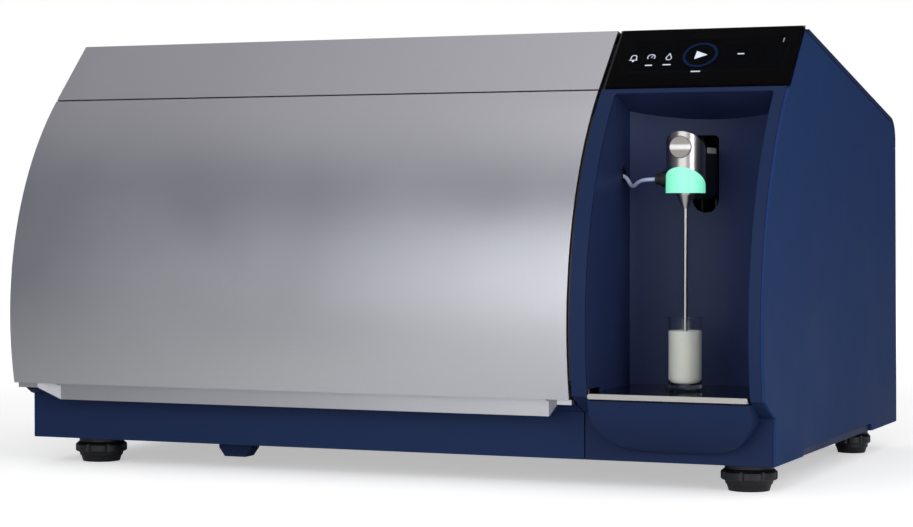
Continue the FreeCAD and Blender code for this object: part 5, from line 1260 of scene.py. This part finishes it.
@dataclass
class TouchScreen:
    """The lit signs of the screen, behind the glass. Lengths in millimetres on the screen.

    A row of arcs has the centre, the outer and inner radius, the first and last angle and the steps, for the
    bell, the gauge and the foot of the drop. Bars have the centre, width and height, and dots the centre,
    radius and steps. The shapes are the gauge's hand, the drop's two sides and the start sign.
    """

    incline: float = 45.6
    glass_length: float = 87.5
    screen_rise: float = 21.5
    screen_side: float = 19.0
    sign_depth: float = 2.15
    sign_thickness: float = 0.05
    ring_center: Spot = (72.3, 27.6)
    ring_radius: float = 18.6
    ring_width: float = 3.0
    arcs: tuple[tuple[float, float, float, float, float, float, int], ...] = (
        (1.2, 26.3, 3.4, 2.5, 0, 180, 10), (20.1, 25.9, 4.4, 3.5, -40, 220, 16),
        (39.2, 24.0, 3.3, 2.4, 150, 390, 14))
    bars: tuple[tuple[float, float, float, float], ...] = (
        (-1.75, 24.3, 0.9, 4.2), (4.15, 24.3, 0.9, 4.2), (1.2, 21.9, 9.0, 0.9), (19.7, 13.4, 7.6, 1.5),
        (39.1, 13.7, 8.6, 1.5), (72.3, 2.5, 10.0, 1.5), (115.3, 27.7, 7.0, 1.5))
    shapes: tuple[tuple[Spot, ...], ...] = (
        ((19.7, 24.7), (20.5, 24.7), (22.5, 28.7), (21.9, 28.9)),
        ((36.3, 25.4), (37.3, 25.4), (39.6, 30.8), (39.0, 31.4)),
        ((41.1, 25.4), (42.1, 25.4), (39.4, 31.4), (38.8, 30.8)),
        ((67.0, 21.3), (80.0, 27.5), (67.6, 33.5)))
    dots: tuple[tuple[float, float, float, int], ...] = (
        (1.2, 20.3, 1.2, 12), (156.7, 45.0, 0.55, 10), (156.7, 47.2, 0.55, 10), (156.7, 49.4, 0.55, 10))
    white: Lit = Lit(srgb(230, 232, 240), glow=2.4, glow_color=srgb(238, 241, 250))
    blue: Lit = Lit(srgb(4, 12, 30), glow=0.14, glow_color=srgb(40, 130, 230))
    body: str = "instrument"

    def plane(self) -> Plane:
        """Finds the screen's lower left corner from the glass's box.

        Returns:
            The screen's plane.
        """
        low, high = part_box("display_glass")
        angle = math.radians(self.incline)
        up = Vector((0, math.cos(angle), math.sin(angle)))
        corner = Vector((low.x, low.y, high.z - self.glass_length * MM * math.sin(angle)))
        across = Vector((1, 0, 0))
        return Plane(corner + across * self.screen_side * MM + up * self.screen_rise * MM, across, up)

    def build(self, wardrobe: Wardrobe) -> None:
        """Makes the white signs and the blue ring.

        Args:
            wardrobe: The finishes.
        """
        plane = self.plane()
        for piece, finish in ((self.signs(plane), self.white), (self.ring(plane), self.blue)):
            wardrobe.dress(piece, "screen_panel", self.body, finish.build(piece.name, wardrobe.kit))

    def signs(self, plane: Plane) -> bpy.types.Object:
        """Bell, gauge, drop, start sign, plain bars in place of words, and the menu dots.

        Args:
            plane: The screen's plane.

        Returns:
            The piece.
        """
        plates = PlateSet(plane, -self.sign_depth, self.sign_thickness)
        for add, rows in ((plates.arc, self.arcs), (plates.bar, self.bars), (plates.disc, self.dots)):
            for row in rows:
                add(*row)
        for shape in self.shapes:
            plates.polygon(shape)
        return plates.piece("screen_signs")

    def ring(self, plane: Plane) -> bpy.types.Object:
        """The dim ring about the start sign.

        Args:
            plane: The screen's plane.

        Returns:
            The piece.
        """
        plates = PlateSet(plane, -self.sign_depth, self.sign_thickness)
        plates.arc(*self.ring_center, self.ring_radius, self.ring_radius - self.ring_width, 0, 360, 40)
        return plates.piece("screen_ring")


@dataclass
class IntakeHose:
    """The thin hose from the wall of the bay to the head. Lengths in metres."""

    radius: float = 0.002
    route: tuple[Point, ...] = ((0.230, -0.183, 0.318), (0.245, -0.183, 0.318), (0.255, -0.1915, 0.303),
                                (0.268, -0.208, 0.3105), (0.281, -0.216, 0.312), (0.289, -0.216, 0.312))
    entry: Point = (0.243, -0.183, 0.318)
    sides: int = 20
    spline_steps: int = 16

    def line(self) -> list[Vector]:
        """Reads close points from the smooth spline along the hose's route.

        Returns:
            The points, from the wall to the head.
        """
        curve = bpy.data.curves.new("intake_hose_line", "CURVE")
        curve.dimensions = "3D"
        curve.resolution_u = self.spline_steps
        spline = curve.splines.new("NURBS")
        spline.points.add(len(self.route) - 1)
        for point, place in zip(spline.points, self.route):
            point.co = (*place, 1.0)
        spline.order_u = 3
        spline.use_endpoint_u = True
        holder = bpy.data.objects.new("intake_hose_line", curve)
        bpy.context.scene.collection.objects.link(holder)
        graph = bpy.context.evaluated_depsgraph_get()
        mesh = bpy.data.meshes.new_from_object(holder.evaluated_get(graph))
        points = [vertex.co.copy() for vertex in mesh.vertices]
        bpy.data.objects.remove(holder)
        bpy.data.meshes.remove(mesh)
        return points

    def build(self, wardrobe: Wardrobe) -> None:
        """Args:
            wardrobe: The finishes.
        """
        path = self.line()
        piece = tube("intake_hose_tube", path, self.radius, self.sides)
        piece.data.materials.append(wardrobe.material("hose_tube"))
        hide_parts("intake_hose")
        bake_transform(piece)


def tube(name: str, path: Sequence[Vector], radius: float, sides: int) -> bpy.types.Object:
    """Sweeps a circle along a path, with closed ends.

    Args:
        name: The piece's name.
        path: Centre points, metres.
        radius: The tube's radius, metres.
        sides: Corners of the circle.

    Returns:
        The object, smooth shaded.
    """
    points: list[Vector] = []
    faces: list[tuple[int, ...]] = []
    side = Vector((0, 0, 1))
    for index, centre in enumerate(path):
        before = path[max(index - 1, 0)]
        after = path[min(index + 1, len(path) - 1)]
        ahead = (after - before).normalized()
        side = (side - ahead * side.dot(ahead)).normalized()
        other = ahead.cross(side)
        for angle in (math.tau * turn / sides for turn in range(sides)):
            points.append(centre + (side * math.cos(angle) + other * math.sin(angle)) * radius)
    for index in range(len(path) - 1):
        base = index * sides
        for turn in range(sides):
            after = (turn + 1) % sides
            faces.append((base + turn, base + after, base + sides + after, base + sides + turn))
    faces.append(tuple(reversed(range(sides))))
    faces.append(tuple(range((len(path) - 1) * sides, len(path) * sides)))
    piece = new_piece(name, points, faces)
    for polygon in piece.data.polygons:
        polygon.use_smooth = len(polygon.vertices) == 4
    return piece


@dataclass
class SampleBay:
    """Small things in the bay: carriage plate, cap disc, milk and drops. Lengths in millimetres.

    The meniscus and the heel give the milk's edge as the distance in from its side, and the height from its
    level or its foot.
    """

    plate_low: Point = (331.0, -176.0, 339.0)
    plate_high: Point = (331.5, -146.0, 344.8)
    cap_color: Color = srgb(138, 134, 131)
    cap_roughness: float = 0.26
    cap_edge: float = 0.5
    cap_edge_depth: float = 0.4
    drop_ring: Range = (18.5, 27.0)
    drop_steps: int = 32
    drop_seed: int = 7
    drop_gap: float = 6.0
    drop_sizes: Range = (0.5, 1.5)
    milk_bore: float = 3.25
    milk_bore_foot: float = 6.0
    milk_overlap: float = 0.45
    meniscus: tuple[Spot, ...] = ((4.0, -0.4), (1.2, -0.1), (0.0, 0.5))
    heel: tuple[Spot, ...] = ((0.0, 6.5), (0.8, 3.8), (2.6, 1.7), (5.4, 0.4), (8.5, 0.0))

    def build(self, parts: SmallParts, wardrobe: Wardrobe) -> None:
        """Makes the pieces of the bay.

        Args:
            parts: The maker of small parts.
            wardrobe: The finishes.
        """
        plate = parts.forms.boxes("carriage_plate", [(*self.plate_low, *self.plate_high)])
        wardrobe.dress(plate, "white_plastic", "pipette")
        self.cap(wardrobe)
        self.milk(wardrobe)
        self.drops(parts, wardrobe)

    def cap(self, wardrobe: Wardrobe) -> None:
        """Faces the head with a flat turned disc whose side wall meets the round head.

        Args:
            wardrobe: The finishes.
        """
        low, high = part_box("head_cap")
        centre = (low + high) / 2
        radius = (high.x - low.x) / 2 / MM
        depth = (high.y - low.y) / MM
        profile = [(0.3, depth), (radius - self.cap_edge, depth), (radius, depth - self.cap_edge_depth),
                   (radius, 0.0)]
        piece = Form(sides=64).turned("cap_disc", profile)
        piece.data.transform(Matrix.Rotation(math.radians(90), 4, "X"))
        piece.data.transform(Matrix.Translation((centre.x, high.y, centre.z)))
        # the turned finish paints a highlight band across the disc
        finish = TurnedMetal(self.cap_color, roughness=self.cap_roughness, centre=tuple(centre))
        wardrobe.dress(piece, "brushed_metal", "pipette", finish.build("turned_cap_painted_highlight", wardrobe.kit))
        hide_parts("head_cap")

    def milk(self, wardrobe: Wardrobe) -> None:
        """Fills the vial with milk that wets the glass, so that the glass shows it at full width.

        Args:
            wardrobe: The finishes.
        """
        low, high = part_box("milk_sample")
        centre = (low + high) / 2
        side = (high.x - low.x) / 2 / MM + self.milk_overlap
        top = (high.z - low.z) / MM
        profile = [(self.milk_bore, self.milk_bore_foot), (self.milk_bore, top + self.meniscus[0][1])]
        profile += [(side - inward, top + height) for inward, height in self.meniscus]
        profile += [(side - inward, height) for inward, height in self.heel]
        piece = Form(sides=96).turned("milk_fill", profile)
        piece.data.transform(Matrix.Translation((centre.x, centre.y, low.z)))
        wardrobe.dress(piece, "milk", "vial")
        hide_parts("milk_sample")

    def drops(self, parts: SmallParts, wardrobe: Wardrobe) -> None:
        """Sprinkles a few drops on the plate about the vial's foot.

        Args:
            parts: The maker of small parts.
            wardrobe: The finishes.
        """
        low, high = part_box("milk_sample")
        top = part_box("stage_plate")[1].z
        centre = (low + high) / 2
        steps = self.drop_steps
        turns = [math.tau * step / steps for step in range(steps)]
        points = [(centre.x + radius * MM * math.cos(turn), centre.y + radius * MM * math.sin(turn), top)
                  for radius in self.drop_ring for turn in turns]
        pairs = [(step, (step + 1) % steps) for step in range(steps)]
        faces = [(step, steps + step, steps + after, after) for step, after in pairs]
        piece = new_piece("plate_drops", points, faces)
        smallest, largest = self.drop_sizes
        parts.trees.run(parts.trees.sprinkled, piece, parts.forms.drop(), wardrobe.material("vial_glass"),
                        Seed=self.drop_seed, Apart=self.drop_gap * MM, Smallest=smallest, Largest=largest)
        wardrobe.dress(piece, "vial_glass", "stage")


@dataclass
class DoorSeam:
    """A black strip that fills the seam beside the door and the upper panel, just behind its front: a dark
    sheet in place of the seam's shadow. Lengths in millimetres.
    """

    left: float = 224.1
    right: float = 227.2
    set_back: float = 0.2
    depth: float = 5.0
    low: float = 92.0
    high: float = 453.0
    step: float = 6.0
    edge_start: Spot = (228.0, -400.0)
    body: str = "instrument"

    def build(self, parts: SmallParts, wardrobe: Wardrobe) -> None:
        """Lays the dark strip along the front edge of the partition.

        Args:
            parts: The maker of small parts.
            wardrobe: The finishes.
        """
        count = round((self.high - self.low) / self.step)
        edge = []
        for number in range(count + 1):
            height = self.low + (self.high - self.low) * number / count
            edge.append(parts.seat("module_partition", (*self.edge_start, height), (0, 1, 0))[0])
        points: list[Vector] = []
        for number, place in enumerate(edge):
            along = (edge[min(number + 1, count)] - edge[max(number - 1, 0)]).normalized()
            inward = Vector((0, along.z, -along.y))
            for back in (self.set_back, self.set_back + self.depth):
                for x in (self.left, self.right):
                    points.append(Vector((x * MM, place.y, place.z)) + inward * back * MM)
        faces: list[tuple[int, ...]] = [(0, 2, 3, 1)]
        for number in range(count):
            base = number * 4
            for first, second in ((0, 1), (1, 3), (3, 2), (2, 0)):
                faces.append((base + first, base + second, base + 4 + second, base + 4 + first))
        faces.append(tuple(count * 4 + corner for corner in (0, 1, 3, 2)))
        # painted shadow: a black rubber strip that stands in for the shade in the seam
        piece = new_piece("door_gasket", points, faces)
        wardrobe.dress(piece, "foot_rubber", self.body)


@dataclass
class Studio:
    """Floor, soft lamps, white surroundings and the photograph's camera. Lengths in metres.

    A reach is where a change starts and ends, with the two results after it where they aren't 0 and 1. On the
    floor it is a distance or a place along X, and in the room a part of the direction that is looked in.
    """

    camera_place: Point = (1.0264, -2.5331, 0.2809)
    camera_turn: Point = (math.radians(90 - 1.288), 0.0, math.radians(22.443))
    focal_length: float = 93.98
    sensor: float = 36.0
    floor_size: float = 14.0
    floor_cloud: float = 0.4
    floor_tones: Range = (0.86, 0.88)
    lift_reach: tuple[float, ...] = (0.9, 2.5, 0.46, 0.75)
    # painted shade on the floor as the object sees it: darker towards -X
    painted_shade_reach: tuple[float, ...] = (-0.9, 0.1, 0.38, 0.92)
    sky_strength: float = 0.52
    wall_color: Color = (0.20, 0.21, 0.245)
    ceiling_color: Color = (0.74, 0.72, 0.74)
    ceiling_reach: Range = (0.6, 0.97)
    shade_color: Color = (0.03, 0.03, 0.04)
    shade_toward: Point = (0.55, 0.83, 0.0)
    shade_reach: Range = (0.2, 0.75)
    left_color: Color = (0.02, 0.02, 0.03)
    left_reach: tuple[float, ...] = (-0.20, -0.60, 0.0, 0.6)
    paper_reach: Range = (0.93, 0.975)
    lamps: tuple[tuple[str, Point, Point, Spot, float], ...] = (
        ("front_lamp", (0.27, -2.75, 1.05), (0.27, 0.0, 1.05), (2.3, 1.9), 22.0),
        ("top_lamp", (0.45, -1.3, 2.3), (0.45, -1.3, 0.0), (1.8, 1.6), 3.4),
        ("strip_lamp", (1.65, -1.15, 0.65), (0.4, -0.1, 0.2), (0.4, 1.2), 9.0),
    )

    def build(self, kit: ShaderKit) -> None:
        """Sets up the whole studio.

        Args:
            kit: The shared shader groups.
        """
        self._floor(kit)
        self._world()
        for lamp in self.lamps:
            self._lamp(*lamp)
        self._camera()
        bpy.context.scene.view_settings.view_transform = "Standard"

    def _floor(self, kit: ShaderKit) -> None:
        """Lays a white paper floor that keeps the object's shadow. As the object sees it, the floor has
        painted shade: it is darker towards -X, for the studio's darker left.

        Args:
            kit: The shared shader groups.
        """
        half = self.floor_size / 2
        corners = [(-half, -half, 0), (half, -half, 0), (half, half, 0), (-half, half, 0)]
        floor = new_piece("studio_floor", corners, [(0, 1, 2, 3)])
        material, graph = new_material("studio_floor")
        place = graph.add("ShaderNodeTexCoord").outputs["Object"]
        low, high = self.floor_tones
        cloud = kit.use(graph, Kit.CLOUD, Vector=place, Size=self.floor_cloud, Low=low, High=high)
        paper = graph.add("ShaderNodeBsdfDiffuse", None, Color=graph.grey(cloud.outputs[0]))
        rise = graph.ramp(graph.vector("LENGTH", place).outputs["Value"], *self.lift_reach)
        lift = graph.add("ShaderNodeEmission", None, Color=WHITE, Strength=rise)
        both = graph.add("ShaderNodeAddShader")
        graph.feed(both, 0, paper.outputs[0])
        graph.feed(both, 1, lift.outputs[0])
        # painted shade: the floor's colour for the object's rays darkens towards -X
        dim = graph.ramp(graph.split(place)["X"], *self.painted_shade_reach)
        bounce = graph.add("ShaderNodeBsdfDiffuse", None, Color=graph.grey(dim))
        seen = graph.add("ShaderNodeLightPath").outputs["Is Camera Ray"]
        surface = graph.mix_shaders(seen, bounce.outputs[0], both.outputs[0])
        graph.add("ShaderNodeOutputMaterial", None, Surface=surface)
        floor.data.materials.append(material)
        floor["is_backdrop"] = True

    def _world(self) -> None:
        """White paper to the camera, the studio to metal and glass, and a soft sky for plain light."""
        world = bpy.data.worlds.new("studio")
        bpy.context.scene.world = world
        world.use_nodes = True
        world.node_tree.nodes.clear()
        graph = Graph(world.node_tree)
        way = graph.add("ShaderNodeTexCoord").outputs["Generated"]
        rays = graph.add("ShaderNodeLightPath").outputs
        along = graph.split(way)
        turn = self.camera_turn[2]
        ahead = (-math.sin(turn), math.cos(turn), 0.0)
        shaded = graph.vector("DOT_PRODUCT", way, self.shade_toward).outputs["Value"]
        toward = graph.vector("DOT_PRODUCT", way, ahead).outputs["Value"]
        room = graph.blend(graph.ramp(along["Z"], *self.ceiling_reach), self.wall_color, self.ceiling_color)
        room = graph.blend(graph.ramp(shaded, *self.shade_reach), room, self.shade_color)
        room = graph.blend(graph.ramp(along["X"], *self.left_reach), room, self.left_color)
        studio = graph.blend(graph.ramp(toward, *self.paper_reach), room, WHITE)
        mirrored = graph.math("MAXIMUM", rays["Is Glossy Ray"], rays["Is Transmission Ray"])
        sky = (self.sky_strength,) * 3
        color = graph.blend(rays["Is Camera Ray"], graph.blend(mirrored, sky, studio), WHITE)
        back = graph.add("ShaderNodeBackground", None, Color=color, Strength=1.0)
        graph.add("ShaderNodeOutputWorld", None, Surface=back.outputs[0])

    @staticmethod
    def _lamp(name: str, place: Point, aim: Point, size: Spot, power: float) -> None:
        """Hangs a soft rectangular lamp.

        Args:
            name: The lamp's name.
            place: Where it hangs.
            aim: What it points at.
            size: Its width and height.
            power: Its power in watts.
        """
        lamp = bpy.data.lights.new(name, "AREA")
        lamp.shape = "RECTANGLE"
        lamp.size, lamp.size_y = size
        lamp.energy = power
        holder = bpy.data.objects.new(name, lamp)
        holder.location = place
        holder.rotation_euler = (Vector(aim) - Vector(place)).to_track_quat("-Z", "Y").to_euler()
        bpy.context.scene.collection.objects.link(holder)

    def _camera(self) -> None:
        """Stands the camera where the photograph was taken from."""
        lens = bpy.data.cameras.new("camera")
        lens.lens = self.focal_length
        lens.sensor_width = self.sensor
        lens.sensor_fit = "HORIZONTAL"
        camera = bpy.data.objects.new("camera", lens)
        camera.location = self.camera_place
        camera.rotation_euler = self.camera_turn
        bpy.context.scene.collection.objects.link(camera)
        bpy.context.scene.camera = camera


def save_size(key: str, sizes: dict[str, list[float]]) -> None:
    """Args:
        key: When it was measured.
        sizes: The record to add to.
    """
    low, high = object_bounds()
    sizes[key] = [high[axis] - low[axis] for axis in range(3)]


def main() -> None:
    """Builds the looks around the frame."""
    logging.basicConfig(level=logging.INFO, format="%(name)s: %(message)s")
    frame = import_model()
    sizes: dict[str, list[float]] = {}
    save_size("after_load", sizes)
    wardrobe = Wardrobe(frame["record"])
    Studio().build(wardrobe.kit)
    IntakeHose().build(wardrobe)
    wardrobe.dress_nodes(frame["nodes"])
    bpy.context.view_layer.update()
    parts = SmallParts(frame["nodes"], CopyTree())
    TouchScreen().build(wardrobe)
    SampleBay().build(parts, wardrobe)
    DoorSeam().build(parts, wardrobe)
    Fasteners().build(parts, wardrobe)
    Electronics().build(parts, wardrobe)
    save_size("before_finish", sizes)


if __name__ == "__main__":
    main()
